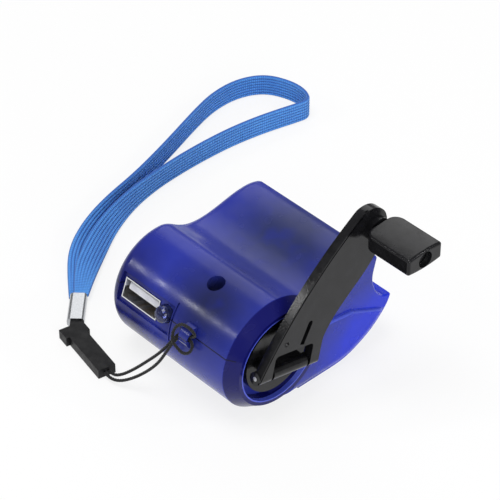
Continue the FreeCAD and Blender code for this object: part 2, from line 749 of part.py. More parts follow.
def gear_outline(teeth, tooth_at):
    """Involute gear outline whose first tooth points at an angle (radians) in the y-z plane."""
    pitch = pitch_radius(teeth)
    angle = math.radians(PRESSURE_ANGLE)
    base = pitch * math.cos(angle)
    tip = pitch + ADDENDUM * MODULE
    root = pitch - DEDENDUM * MODULE
    half_pitch_tooth = math.pi / (2 * teeth) - BACKLASH / (2 * pitch)
    flank_start = max(base, root)
    steps = 4
    flank = []
    for index in range(steps + 1):
        radius = flank_start + (tip - flank_start) * index / steps
        roll = math.acos(min(1.0, base / radius))
        spread = math.tan(angle) - angle - (math.tan(roll) - roll)
        flank.append((radius, half_pitch_tooth + spread))
    if root < flank_start:
        flank.insert(0, (root, flank[0][1]))
    points = []
    for tooth in range(teeth):
        middle = tooth_at + 2 * math.pi * tooth / teeth
        points += [(radius, middle - half) for radius, half in flank]
        points += [(radius, middle + half) for radius, half in reversed(flank)]
    vectors = [Vector(0, r * math.cos(a), r * math.sin(a)) for r, a in points]
    return Part.Face(Part.makePolygon(vectors + vectors[:1]))


def gear(teeth, tooth_at, centre, x_outer, width):
    """Toothed disc whose outer face is at a station."""
    outline = gear_outline(teeth, tooth_at).translated(Vector(0, *centre))
    return prism(outline, x_outer - width, x_outer)


def meshing_tooth(driver_teeth, driver_tooth, driven_teeth, direction):
    """Angle of a driven gear's tooth that puts it in mesh with its driver.

    The direction is the angle from the driver's axle to the driven one's.
    """
    driver_pitch = 2 * math.pi / driver_teeth
    driven_pitch = 2 * math.pi / driven_teeth
    phase = (direction - driver_tooth) / driver_pitch % 1.0
    return direction + math.pi - (0.5 - phase) * driven_pitch


def crossing(first, first_radius, second, second_radius):
    """Lower crossing of two circles in the y-z plane."""
    gap_y = second[0] - first[0]
    gap_z = second[1] - first[1]
    gap = math.hypot(gap_y, gap_z)
    along = (first_radius ** 2 - second_radius ** 2 + gap ** 2) / (2 * gap)
    aside = math.sqrt(first_radius ** 2 - along ** 2)
    return (first[0] + (along * gap_y + aside * gap_z) / gap,
            first[1] + (along * gap_z - aside * gap_y) / gap)


def direction_between(first, second):
    """Angle of the line from one axle to another in the y-z plane."""
    return math.atan2(second[1] - first[1], second[0] - first[0])


CRANK_AXLE = (0.0, 0.0)
FIRST_SPACING = pitch_radius(CRANK_TEETH) + pitch_radius(FIRST_PINION_TEETH)
SECOND_SPACING = pitch_radius(FIRST_WHEEL_TEETH) + pitch_radius(SECOND_PINION_TEETH)
MOTOR_SPACING = pitch_radius(SECOND_WHEEL_TEETH) + pitch_radius(MOTOR_PINION_TEETH)
MOTOR_AXLE = (MOTOR_Y, MOTOR_Z)
FIRST_AXLE = (FIRST_SPACING * math.cos(math.radians(FIRST_IDLER_ANGLE)),
              FIRST_SPACING * math.sin(math.radians(FIRST_IDLER_ANGLE)))
SECOND_AXLE = crossing(FIRST_AXLE, SECOND_SPACING, MOTOR_AXLE, MOTOR_SPACING)


def crank_gear():
    """Large gear on the crank shaft, with its hub."""
    wheel = gear(CRANK_TEETH, 0.0, CRANK_AXLE, CRANK_GEAR_X, CRANK_GEAR_WIDTH)
    hub = rod(CRANK_SHAFT_RADIUS + HUB_RADIUS, CRANK_GEAR_X - CRANK_GEAR_WIDTH, INNER_PLATE_X + SIDE_GAP)
    bore = rod(CRANK_SHAFT_RADIUS, CRANK_GEAR_X, INNER_PLATE_X)
    return wheel.fuse(hub).cut(bore)


def idler(centre, wheel_teeth, wheel_x, pinion_teeth, pinion_tooth, pinion_x, pinion_width):
    """Wheel and pinion moulded in one, running on a fixed axle between the plates."""
    wheel = gear(wheel_teeth, 0.0, centre, wheel_x, GEAR_WIDTH)
    pinion = gear(pinion_teeth, pinion_tooth, centre, pinion_x, pinion_width)
    outer = OUTER_PLATE_X - PLATE_THICKNESS - SIDE_GAP
    inner = INNER_PLATE_X + SIDE_GAP
    sleeve = rod(HUB_RADIUS, inner, outer, *centre)
    bore = rod(AXLE_RADIUS + RUNNING_GAP, inner, outer, *centre)
    return fuse([sleeve, wheel, pinion]).cut(bore)


def first_idler_gear():
    """Idler driven by the crank gear."""
    tooth = meshing_tooth(CRANK_TEETH, 0.0, FIRST_PINION_TEETH, direction_between(CRANK_AXLE, FIRST_AXLE))
    width = CRANK_GEAR_X - FIRST_WHEEL_X
    return idler(FIRST_AXLE, FIRST_WHEEL_TEETH, FIRST_WHEEL_X, FIRST_PINION_TEETH, tooth, CRANK_GEAR_X, width)


def second_idler_gear():
    """Idler driven by the first idler's wheel."""
    tooth = meshing_tooth(FIRST_WHEEL_TEETH, 0.0, SECOND_PINION_TEETH,
                          direction_between(FIRST_AXLE, SECOND_AXLE))
    width = FIRST_WHEEL_X - SECOND_WHEEL_X
    return idler(SECOND_AXLE, SECOND_WHEEL_TEETH, SECOND_WHEEL_X, SECOND_PINION_TEETH, tooth,
                 FIRST_WHEEL_X, width)


def motor_pinion():
    """Small pinion pressed on the generator's shaft."""
    tooth = meshing_tooth(SECOND_WHEEL_TEETH, 0.0, MOTOR_PINION_TEETH,
                          direction_between(SECOND_AXLE, MOTOR_AXLE))
    pinion = gear(MOTOR_PINION_TEETH, tooth, MOTOR_AXLE, SECOND_WHEEL_X, GEAR_WIDTH)
    return pinion.cut(rod(MOTOR_SHAFT_RADIUS, MOTOR_FRONT_X, OUTER_PLATE_X, *MOTOR_AXLE))


def gear_plate(x_outer):
    """Plate that follows the casing's inside and carries the axles."""
    face = casing_face(WALL + PLATE_CLEARANCE)
    sheet = prism(face, x_outer - PLATE_THICKNESS, x_outer)
    body = box((-FAR, FAR), (PLATE_TONGUE_END_Y, PLATE_END_Y), (-FAR, FAR))
    tongue = box((-FAR, FAR), (PLATE_START_Y, PLATE_TONGUE_END_Y),
                 (-PLATE_TONGUE_HALF_HEIGHT, PLATE_TONGUE_HALF_HEIGHT))
    plate = sheet.common(body.fuse(tongue).removeSplitter())
    for y, z in SPACER_CENTRES:
        plate = plate.cut(rod(RIVET_RADIUS, x_outer - PLATE_THICKNESS, x_outer, y, z))
    for y, z in (FIRST_AXLE, SECOND_AXLE):
        plate = plate.cut(rod(AXLE_RADIUS, x_outer - PLATE_THICKNESS, x_outer, y, z))
    return plate


def outer_gear_plate():
    """Plate beside the crank recess; the crank bush passes through it."""
    plate = gear_plate(OUTER_PLATE_X)
    return plate.cut(rod(BUSH_RADIUS, OUTER_PLATE_X - PLATE_THICKNESS, OUTER_PLATE_X))


def inner_gear_plate():
    """Plate that carries the generator and the crank shaft's inner end."""
    plate = gear_plate(INNER_PLATE_X)
    plate = plate.cut(rod(CRANK_SHAFT_RADIUS + RUNNING_GAP, MOTOR_FRONT_X, INNER_PLATE_X))
    opening = MOTOR_SHAFT_RADIUS + ROOMY_GAP
    return plate.cut(rod(opening, MOTOR_FRONT_X, INNER_PLATE_X, *MOTOR_AXLE))


def gear_spacers():
    """Three tubes that hold the plates apart."""
    start = INNER_PLATE_X
    end = OUTER_PLATE_X - PLATE_THICKNESS
    spacers = []
    for y, z in SPACER_CENTRES:
        outer = rod(SPACER_RADIUS, start, end, y, z)
        spacers.append(outer.cut(rod(RIVET_RADIUS, start, end, y, z)))
    return Part.makeCompound(spacers)


def gear_frame_rivets():
    """Rivets through the inner plate, the spacers and the outer plate, closed flush with both."""
    rivets = [rod(RIVET_RADIUS, MOTOR_FRONT_X, OUTER_PLATE_X, *place) for place in SPACER_CENTRES]
    return Part.makeCompound(rivets)


def idler_axles():
    """The two fixed steel axles."""
    axles = [rod(AXLE_RADIUS, MOTOR_FRONT_X, OUTER_PLATE_X, *centre) for centre in (FIRST_AXLE, SECOND_AXLE)]
    return Part.makeCompound(axles)


# ---------------------------------------------------------------- generator
def motor_section(radius, half_height):
    """Round bar with two flats, as long as the generator, behind its front face."""
    bar = rod(radius, MOTOR_BACK_X, MOTOR_FRONT_X, *MOTOR_AXLE)
    flats = box((-FAR, FAR), (-FAR, FAR), (MOTOR_Z - half_height, MOTOR_Z + half_height))
    return bar.common(flats)


def motor_can():
    """Drawn steel can, closed at the front, with the shaft's opening."""
    inner = motor_section(MOTOR_RADIUS - MOTOR_WALL, MOTOR_HALF_HEIGHT - MOTOR_WALL)
    inner = inner.translated(Vector(-MOTOR_WALL, 0, 0))
    can = motor_section(MOTOR_RADIUS, MOTOR_HALF_HEIGHT).cut(inner)
    opening = MOTOR_SHAFT_RADIUS + RUNNING_GAP
    return can.cut(rod(opening, MOTOR_FRONT_X - MOTOR_WALL, MOTOR_FRONT_X, *MOTOR_AXLE))


def motor_end_cap():
    """Plastic cap in the can's open end, with the rear bearing and two terminals."""
    plug = motor_section(MOTOR_RADIUS - MOTOR_WALL, MOTOR_HALF_HEIGHT - MOTOR_WALL)
    plug = plug.common(box((MOTOR_BACK_X, MOTOR_BACK_X + MOTOR_CAP_THICKNESS), (-FAR, FAR), (-FAR, FAR)))
    bore = rod(MOTOR_SHAFT_RADIUS + RUNNING_GAP, MOTOR_BACK_X + MOTOR_WALL,
               MOTOR_BACK_X + MOTOR_CAP_THICKNESS, *MOTOR_AXLE)
    return plug.cut(bore)


def motor_terminals():
    """Two tags on the back of the generator that the wires are soldered to."""
    reach, width, thickness = TERMINAL_SIZE
    tags = []
    for side in (-1, 1):
        y = MOTOR_Y - width / 2
        z = MOTOR_Z + side * TERMINAL_OFFSET
        tags.append(box((MOTOR_BACK_X - reach, MOTOR_BACK_X), (y, y + width), (z, z + thickness)))
    return Part.makeCompound(tags)


def motor_magnets():
    """Two curved magnets against the round sides of the can."""
    start = MOTOR_BACK_X + MOTOR_CAP_THICKNESS + COMMUTATOR_LENGTH
    end = MOTOR_FRONT_X - MOTOR_WALL
    outer = MOTOR_RADIUS - MOTOR_WALL
    ring = rod(outer, start, end, *MOTOR_AXLE).cut(rod(outer - MAGNET_THICKNESS, start, end, *MOTOR_AXLE))
    reach = outer * math.sin(math.radians(MAGNET_HALF_ANGLE))
    height = min(reach, MOTOR_HALF_HEIGHT - MOTOR_WALL)
    band = box((-FAR, FAR), (-FAR, FAR), (MOTOR_Z - height, MOTOR_Z + height))
    return ring.common(band)


def motor_armature():
    """Wound rotor with its commutator, on the generator's shaft."""
    radius = MOTOR_HALF_HEIGHT - MOTOR_WALL - ARMATURE_GAP
    front = MOTOR_FRONT_X - MOTOR_WALL - COMMUTATOR_LENGTH
    commutator_start = MOTOR_BACK_X + MOTOR_CAP_THICKNESS + ARMATURE_END_SPACE
    core_start = commutator_start + COMMUTATOR_LENGTH
    core = rod(radius, core_start, front, *MOTOR_AXLE)
    commutator = rod(COMMUTATOR_RADIUS, commutator_start, core_start, *MOTOR_AXLE)
    shaft = rod(MOTOR_SHAFT_RADIUS, MOTOR_BACK_X + MOTOR_WALL + SIDE_GAP, SECOND_WHEEL_X, *MOTOR_AXLE)
    return fuse([core, commutator, shaft])


# ---------------------------------------------------------------- crank
def hinge_direction():
    """Unit vector along the arm's hinge and the one across it, towards the knob."""
    turn = math.radians(HINGE_ANGLE)
    along = Vector(0, math.cos(turn), math.sin(turn))
    across = Vector(0, -math.sin(turn), math.cos(turn))
    return along, across


def hinge_point(along_distance):
    """Point on the hinge axis, at a distance along it from the foot of the crank axis."""
    along, across = hinge_direction()
    return Vector(HINGE_X, 0, 0) + across * HINGE_OFFSET + along * along_distance


def hinge_rod(radius, start, end):
    """Cylinder on the hinge axis."""
    along, _ = hinge_direction()
    return Part.makeCylinder(radius, end - start, hinge_point(start), along)


def hinge_box(x, along_limits, across_limits):
    """Box whose sides follow the hinge; its limits across are measured from the hinge axis."""
    shape = box(x, along_limits, (across_limits[0] + HINGE_OFFSET, across_limits[1] + HINGE_OFFSET))
    return shape.rotated(Vector(0, 0, 0), Vector(1, 0, 0), HINGE_ANGLE)


def crank_disc():
    """Disc in the recess with the block and barrel that carry the folding arm."""
    disc = rod(DISC_RADIUS, DISC_FRONT - DISC_THICKNESS, DISC_FRONT)
    boss = rod(DISC_BOSS_RADIUS, DISC_FRONT, DISC_BOSS_TOP)
    half = BLOCK_THICKNESS / 2
    block = hinge_box((DISC_FRONT, HINGE_X), (BARREL_START, BARREL_END), (-half, half))
    barrel = hinge_rod(KNUCKLE_RADIUS, BARREL_START, BARREL_END)
    body = fuse([disc, boss, block, barrel])
    body = body.cut(hinge_rod(HINGE_PIN_RADIUS + RUNNING_GAP, BARREL_START, BARREL_END))
    return body.cut(rod(CRANK_SHAFT_RADIUS, DISC_FRONT - DISC_THICKNESS, SHAFT_OUTER_X))


def crank_shaft():
    """Steel shaft from the disc to the inner gear plate."""
    return rod(CRANK_SHAFT_RADIUS, MOTOR_FRONT_X, SHAFT_OUTER_X)


def crank_bush():
    """Flanged bearing bush in the recess floor and the outer gear plate."""
    sleeve = rod(BUSH_RADIUS, OUTER_PLATE_X - PLATE_THICKNESS, FLOOR_X)
    flange = rod(BUSH_FLANGE_RADIUS, FLOOR_X, FLOOR_X + BUSH_FLANGE_THICKNESS)
    bore = rod(CRANK_SHAFT_RADIUS + RUNNING_GAP, OUTER_PLATE_X - PLATE_THICKNESS, FLOOR_X + WALL)
    return sleeve.fuse(flange).removeSplitter().cut(bore)


def hinge_pin():
    """Steel pin through the ears of the arm and the barrel of the disc."""
    return hinge_rod(HINGE_PIN_RADIUS, EAR_START, EAR_END)


def arm_outline():
    """Edges of the arm, from its ears to its rounded end round the knob's axis; the back comes first."""
    along, across = hinge_direction()
    base = across * (HINGE_OFFSET - KNUCKLE_RADIUS)
    ear_left = base + along * EAR_START
    ear_right = base + along * EAR_END
    left_top = ear_left + across * EAR_BACK_HEIGHT
    right_top = ear_right + across * EAR_FRONT_HEIGHT
    tip_left, tip_middle, tip_right, inner_bend, outer_bulge = [
        (KNOB_Y + y, KNOB_Z + z) for y, z in ARM_FROM_KNOB]
    waist = (right_top.y + ARM_WAIST[0], right_top.z + ARM_WAIST[1])
    return [
        arc((left_top.y, left_top.z), outer_bulge, tip_left),
        arc(tip_left, tip_middle, tip_right),
        spline([tip_right, inner_bend, waist, (right_top.y, right_top.z)]),
        segment((right_top.y, right_top.z), (ear_right.y, ear_right.z)),
        segment((ear_right.y, ear_right.z), (ear_left.y, ear_left.z)),
        segment((ear_left.y, ear_left.z), (left_top.y, left_top.z)),
    ]


def arm_groove(back):
    """Narrow groove in the arm's face that follows its curved back."""
    centre = back.Curve.Center
    outer = back.Curve.Radius - ARM_GROOVE_INSET
    start = ARM_FRONT_X - ARM_GROOVE_DEPTH
    ring = rod(outer, start, FAR, centre.y, centre.z)
    return ring.cut(rod(outer - ARM_GROOVE_WIDTH, start, FAR, centre.y, centre.z))


def arm_slot():
    """Leaning slot that runs from its rounded top into the gap between the ears."""
    half = ARM_SLOT_WIDTH / 2
    slot = box((0, FAR), (-half, half), (-ARM_SLOT_LENGTH, 0)).fuse(rod(half, 0, FAR))
    return slot.rotated(Vector(0, 0, 0), Vector(1, 0, 0), ARM_SLOT_ANGLE).translated(Vector(0, *ARM_SLOT_TOP))


def ear_gap(start, end):
    """Space between the ears for the barrel, with rounded upper corners."""
    gap = hinge_box((-FAR, FAR), (start, end), (-FAR, EAR_GAP_HEIGHT))
    corners = []
    for edge in gap.Edges:
        limits = edge.BoundBox
        if limits.XLength > FAR and limits.ZMin > -FAR / 2:
            corners.append(edge)
    return gap.makeFillet(EAR_GAP_ROUNDING, corners)


def crank_arm():
    """Folding arm with its two ears and the neck that carries the knob."""
    outline = arm_outline()
    plate = prism(Part.Face(Part.Wire(outline)), ARM_FRONT_X - ARM_THICKNESS, ARM_FRONT_X)
    gap_start = BARREL_START - EAR_GAP_MARGIN
    gap_end = BARREL_END + EAR_GAP_MARGIN
    knuckle_zone = hinge_box((-FAR, FAR), (-FAR, FAR), (-FAR, 0.0))
    ears = [hinge_rod(KNUCKLE_RADIUS, EAR_START, gap_start), hinge_rod(KNUCKLE_RADIUS, gap_end, EAR_END)]
    neck = rod(KNOB_NECK_RADIUS, ARM_FRONT_X - ARM_THICKNESS, KNOB_NEAR_X - SIDE_GAP, KNOB_Y, KNOB_Z)
    arm = fuse([plate.cut(knuckle_zone)] + ears + [neck])
    arm = arm.cut(ear_gap(gap_start, gap_end))
    arm = arm.cut(hinge_rod(HINGE_PIN_RADIUS, EAR_START, EAR_END))
    arm = arm.cut(rod(KNOB_SCREW_RADIUS, 0, KNOB_REACH, KNOB_Y, KNOB_Z))
    bump = Part.makeCone(ARM_BUMP_RADIUS, ARM_BUMP_RADIUS / 2, ARM_BUMP_HEIGHT,
                         Vector(ARM_FRONT_X, *ARM_BUMP_CENTRE), Vector(1, 0, 0))
    return arm.cut(arm_slot()).cut(arm_groove(outline[0])).fuse(bump)


def knob_screw():
    """Shoulder screw in the arm that the knob turns on."""
    shoulder_end = KNOB_REACH - KNOB_RECESS_DEPTH + SIDE_GAP / 2
    shank = rod(KNOB_SCREW_RADIUS, ARM_FRONT_X - ARM_THICKNESS, shoulder_end, KNOB_Y, KNOB_Z)
    head_end = shoulder_end + KNOB_SCREW_HEAD_HEIGHT
    head = rod(KNOB_SCREW_HEAD_RADIUS, shoulder_end, head_end, KNOB_Y, KNOB_Z)
    half = SCREW_SLOT_WIDTH / 2
    slots = [
        box((head_end - SCREW_SLOT_DEPTH, head_end), (KNOB_Y - half, KNOB_Y + half),
            (KNOB_Z - KNOB_SCREW_RADIUS, KNOB_Z + KNOB_SCREW_RADIUS)),
        box((head_end - SCREW_SLOT_DEPTH, head_end), (KNOB_Y - KNOB_SCREW_RADIUS, KNOB_Y + KNOB_SCREW_RADIUS),
            (KNOB_Z - half, KNOB_Z + half)),
    ]
    return shank.fuse(head).removeSplitter().cut(slots[0]).cut(slots[1])


def crank_knob():
    """Flat grip that turns on the shoulder screw, with rounded corners next to the arm."""
    half = KNOB_WIDTH / 2
    edge = KNOB_EDGE_HEIGHT / 2
    crown = edge + KNOB_CROWN
    outline = Part.Wire([
        arc((-half, edge), (0, crown), (half, edge)),
        segment((half, edge), (half, -edge)),
        arc((half, -edge), (0, -crown), (-half, -edge)),
        segment((-half, -edge), (-half, edge)),
    ])
    body = prism(Part.Face(outline), KNOB_NEAR_X, KNOB_REACH)
    corners = []
    rims = []
    for side in body.Edges:
        limits = side.BoundBox
        upright = limits.YLength < 0.01 and limits.XLength < 0.01
        if upright and limits.XMax < KNOB_NEAR_X + 0.01:
            corners.append(side)
    body = body.makeFillet(KNOB_CORNER, corners)
    for side in body.Edges:
        limits = side.BoundBox
        lengthwise = limits.XLength > KNOB_CORNER and limits.YLength < 0.01
        if lengthwise or limits.XMin > KNOB_REACH - 0.01:
            rims.append(side)
    body = body.makeFillet(KNOB_EDGE_ROUNDING, rims)
    body = body.cut(rod(KNOB_SCREW_RADIUS + RUNNING_GAP, KNOB_NEAR_X, KNOB_REACH))
    body = body.cut(rod(KNOB_RECESS_RADIUS, KNOB_REACH - KNOB_RECESS_DEPTH, KNOB_REACH))
    return body.translated(Vector(0, KNOB_Y, KNOB_Z))


# ---------------------------------------------------------------- electronics
def usb_shell():
    """Folded metal shell of the socket."""
    half = USB_WIDTH / 2
    rise = USB_HEIGHT / 2
    back = -USB_FACE_RADIUS + USB_DEPTH
    outer = box((PORT_X - half, PORT_X + half), (-USB_FACE_RADIUS, back), (-rise, rise))
    inner = box((PORT_X - half + USB_WALL, PORT_X + half - USB_WALL),
                (-USB_FACE_RADIUS - USB_WALL, back - USB_WALL), (-rise + USB_WALL, rise - USB_WALL))
    return tilt_to_port(outer.cut(inner))


def usb_tongue():
    """Plastic tongue and its block at the back of the socket."""
    half = TONGUE_WIDTH / 2
    top = USB_HEIGHT / 2 - USB_WALL - TONGUE_TOP_GAP
    back = -USB_FACE_RADIUS + USB_DEPTH - USB_WALL
    block_front = back - 3.0
    tongue = box((PORT_X - half, PORT_X + half), (-USB_FACE_RADIUS + TONGUE_RECESS, block_front),
                 (top - TONGUE_THICKNESS, top))
    inner_half = USB_WIDTH / 2 - USB_WALL
    inner_rise = USB_HEIGHT / 2 - USB_WALL
    block = box((PORT_X - inner_half, PORT_X + inner_half), (block_front, back), (-inner_rise, inner_rise))
    return tilt_to_port(tongue.fuse(block).removeSplitter())


def usb_contacts():
    """Four spring contacts on the underside of the tongue."""
    top = USB_HEIGHT / 2 - USB_WALL - TONGUE_TOP_GAP - TONGUE_THICKNESS
    start = -USB_FACE_RADIUS + 2 * TONGUE_RECESS
    strips = []
    for offset in CONTACT_PITCHES:
        x = PORT_X + offset
        strips.append(box((x - CONTACT_WIDTH / 2, x + CONTACT_WIDTH / 2), (start, start + CONTACT_LENGTH),
                          (top - CONTACT_THICKNESS, top)))
    return tilt_to_port(Part.makeCompound(strips))


BOARD_TOP = -USB_HEIGHT / 2


def circuit_board():
    """Board under the socket."""
    board = box((BOARD_LEFT_X, BOARD_RIGHT_X), (BOARD_FRONT_Y, BOARD_BACK_Y),
                (BOARD_TOP - BOARD_THICKNESS, BOARD_TOP))
    return tilt_to_port(board)


def lamp():
    """Clear round lamp beside the socket, with two legs bent down to the board."""
    base_y = -LAMP_TIP_RADIUS + LAMP_LENGTH
    base = Vector(LAMP_X, base_y, LAMP_RISE)
    body = Part.makeCylinder(LAMP_RADIUS, LAMP_LENGTH - LAMP_RADIUS, base, Vector(0, -1, 0))
    dome = Part.makeSphere(LAMP_RADIUS, Vector(LAMP_X, -LAMP_TIP_RADIUS + LAMP_RADIUS, LAMP_RISE))
    flange = Part.makeCylinder(LAMP_FLANGE_RADIUS, LAMP_FLANGE_THICKNESS, base, Vector(0, -1, 0))
    trim = box((-FAR, FAR), (-FAR, FAR), (BOARD_TOP, FAR))
    shapes = [body, dome, flange]
    half = LAMP_LEG_WIDTH / 2
    for side in (-1, 1):
        x = LAMP_X + side * LAMP_LEG_SPACING
        shapes.append(box((x - half, x + half), (base_y, base_y + 4 * half), (-half, half)))
        shapes.append(box((x - half, x + half), (base_y + 2 * half, base_y + 4 * half), (BOARD_TOP, half)))
    return tilt_to_port(fuse(shapes).common(trim))


def capacitor():
    """Round electrolytic capacitor standing on the board."""
    x, y = CAPACITOR_PLACE
    return tilt_to_port(post(CAPACITOR_RADIUS, BOARD_TOP, BOARD_TOP + CAPACITOR_HEIGHT, x, y))


def block_under_board(size, x, y):
    """Flat package soldered to the board's underside."""
    top = BOARD_TOP - BOARD_THICKNESS
    return box((x - size[0] / 2, x + size[0] / 2), (y - size[1] / 2, y + size[1] / 2), (top - size[2], top))


def regulator_chip():
    """Voltage regulator under the board."""
    return tilt_to_port(block_under_board(REGULATOR_SIZE, *REGULATOR_PLACE))


def rectifier_diodes():
    """Four diodes in a row, so that the crank works in either direction."""
    diodes = []
    for index in range(4):
        diodes.append(block_under_board(DIODE_SIZE, DIODE_FIRST_X + DIODE_PITCH * index, DIODE_Y))
    return tilt_to_port(Part.makeCompound(diodes))


def generator_wires():
    """Two insulated wires from the generator's tags, past the screw post, to the board's back edge."""
    tag_x = MOTOR_BACK_X - TERMINAL_SIZE[0] / 2
    passage_x = UNDER_SCREWS[0][0] - BOSS_RADIUS - 3 * WIRE_RADIUS
    solder = tilt_to_port(Part.Vertex(0, BOARD_BACK_Y - 2 * WIRE_RADIUS, BOARD_TOP + WIRE_RADIUS)).Point
    wires = []
    for side in (-1, 1):
        z = MOTOR_Z + side * TERMINAL_OFFSET
        under_tag = z - WIRE_RADIUS if side > 0 else z + TERMINAL_SIZE[2] + WIRE_RADIUS
        beside_post = solder.z + WIRE_RADIUS * (4 + 2 * side)
        points = [
            (tag_x, MOTOR_Y, under_tag),
            (passage_x, MOTOR_Y - WIRE_DROP_Y, (under_tag + beside_post) / 2),
            (passage_x, UNDER_SCREWS[0][1] - BOSS_RADIUS, beside_post),
            (passage_x + WIRE_RADIUS * (1 + 2 * side), solder.y, solder.z),
        ]
        wires.append(tube("generator_wires", points, WIRE_RADIUS))
    return Part.makeCompound(wires)


# ---------------------------------------------------------------- lanyard
def laid_flat(shape, start, heading):
    """Place a piece drawn along +X from zero on the ground, from a point and in a direction."""
    turned = shape.rotated(Vector(0, 0, 0), Vector(0, 0, 1), heading)
    return turned.translated(Vector(start[0], start[1], 0))


def lanyard_clip():
    """Moulded clip between the string and the strap, with a wider head and a neck to the crimp."""
    body = box((0, CLIP_LENGTH), (-CLIP_WIDTH / 2, CLIP_WIDTH / 2), (0, CLIP_HEIGHT))
    head = box((CLIP_LENGTH - CLIP_HEAD_LENGTH, CLIP_LENGTH), (-CLIP_HEAD_WIDTH / 2, CLIP_HEAD_WIDTH / 2),
               (0, CLIP_HEIGHT))
    edge = (CLIP_HEIGHT - CLIP_NECK_HEIGHT) / 2
    half = CLIP_NECK_WIDTH / 2
    neck = box((-CLIP_NECK_LENGTH, 0), (-half, half), (edge, CLIP_HEIGHT - edge))
    lying = [laid_flat(body, CLIP_END, CLIP_HEADING), laid_flat(head, CLIP_END, CLIP_HEADING)]
    return fuse(lying + [laid_flat(neck, CRIMP_START, CRIMP_HEADING)])


def lanyard_crimp():
    """Flattened metal sleeve that holds both ends of the strap."""
    sleeve = box((0, CRIMP_LENGTH), (-CRIMP_WIDTH / 2, CRIMP_WIDTH / 2), (0, CRIMP_HEIGHT))
    lengthwise = [edge for edge in sleeve.Edges if edge.BoundBox.XLength > CRIMP_LENGTH / 2]
    return laid_flat(sleeve.makeFillet(CRIMP_HEIGHT / 3, lengthwise), CRIMP_START, CRIMP_HEADING)


def main():
    """Build every node and write it."""
    os.makedirs("parts", exist_ok=True)
    block = casing_block()
    cavity = casing_cavity()
    shift = own_frame_shift(block)
    print("crank axis at the rim", shift)
    in_crank_frame = {
        "upper_shell": upper_shell(block, cavity),
        "lower_shell": lower_shell(block, cavity),
        "casing_screws": casing_screws(),
        "crank_bush": crank_bush(),
        "outer_gear_plate": outer_gear_plate(),
        "inner_gear_plate": inner_gear_plate(),
        "gear_spacers": gear_spacers(),
        "gear_frame_rivets": gear_frame_rivets(),
        "idler_axles": idler_axles(),
        "motor_can": motor_can(),
        "motor_end_cap": motor_end_cap(),
        "motor_terminals": motor_terminals(),
        "motor_magnets": motor_magnets(),
        "circuit_board": circuit_board(),
        "usb_shell": usb_shell(),
        "usb_tongue": usb_tongue(),
        "usb_contacts": usb_contacts(),
        "charge_lamp": lamp(),
        "capacitor": capacitor(),
        "regulator_chip": regulator_chip(),
        "rectifier_diodes": rectifier_diodes(),
        "generator_wires": generator_wires(),
        "crank_disc": crank_disc(),
        "crank_shaft": crank_shaft(),
        "crank_gear": crank_gear(),
        "crank_arm": crank_arm(),
        "hinge_pin": hinge_pin(),
        "knob_screw": knob_screw(),
        "crank_knob": crank_knob(),
        "first_idler_gear": first_idler_gear(),
        "second_idler_gear": second_idler_gear(),
        "motor_armature": motor_armature(),
        "motor_pinion": motor_pinion(),
    }
    for name, shape in in_crank_frame.items():
        save(name, shape.translated(shift))
    save("lanyard_string", tube("lanyard_string", STRING_ROUTE, STRING_RADIUS))
    save("wrist_strap", ribbon("wrist_strap", STRAP_ROUTE, STRAP_THICKNESS, STRAP_WIDTH))
    save("lanyard_clip", lanyard_clip())
    save("lanyard_crimp", lanyard_crimp())


main()
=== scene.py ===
"""The looks of a hand crank phone charger, built round its CAD frame.

The node graphs come first, then the finishes, the cords, the classes that dress each sub-assembly,
and last the studio. Sizes are in metres unless a name says otherwise.
"""

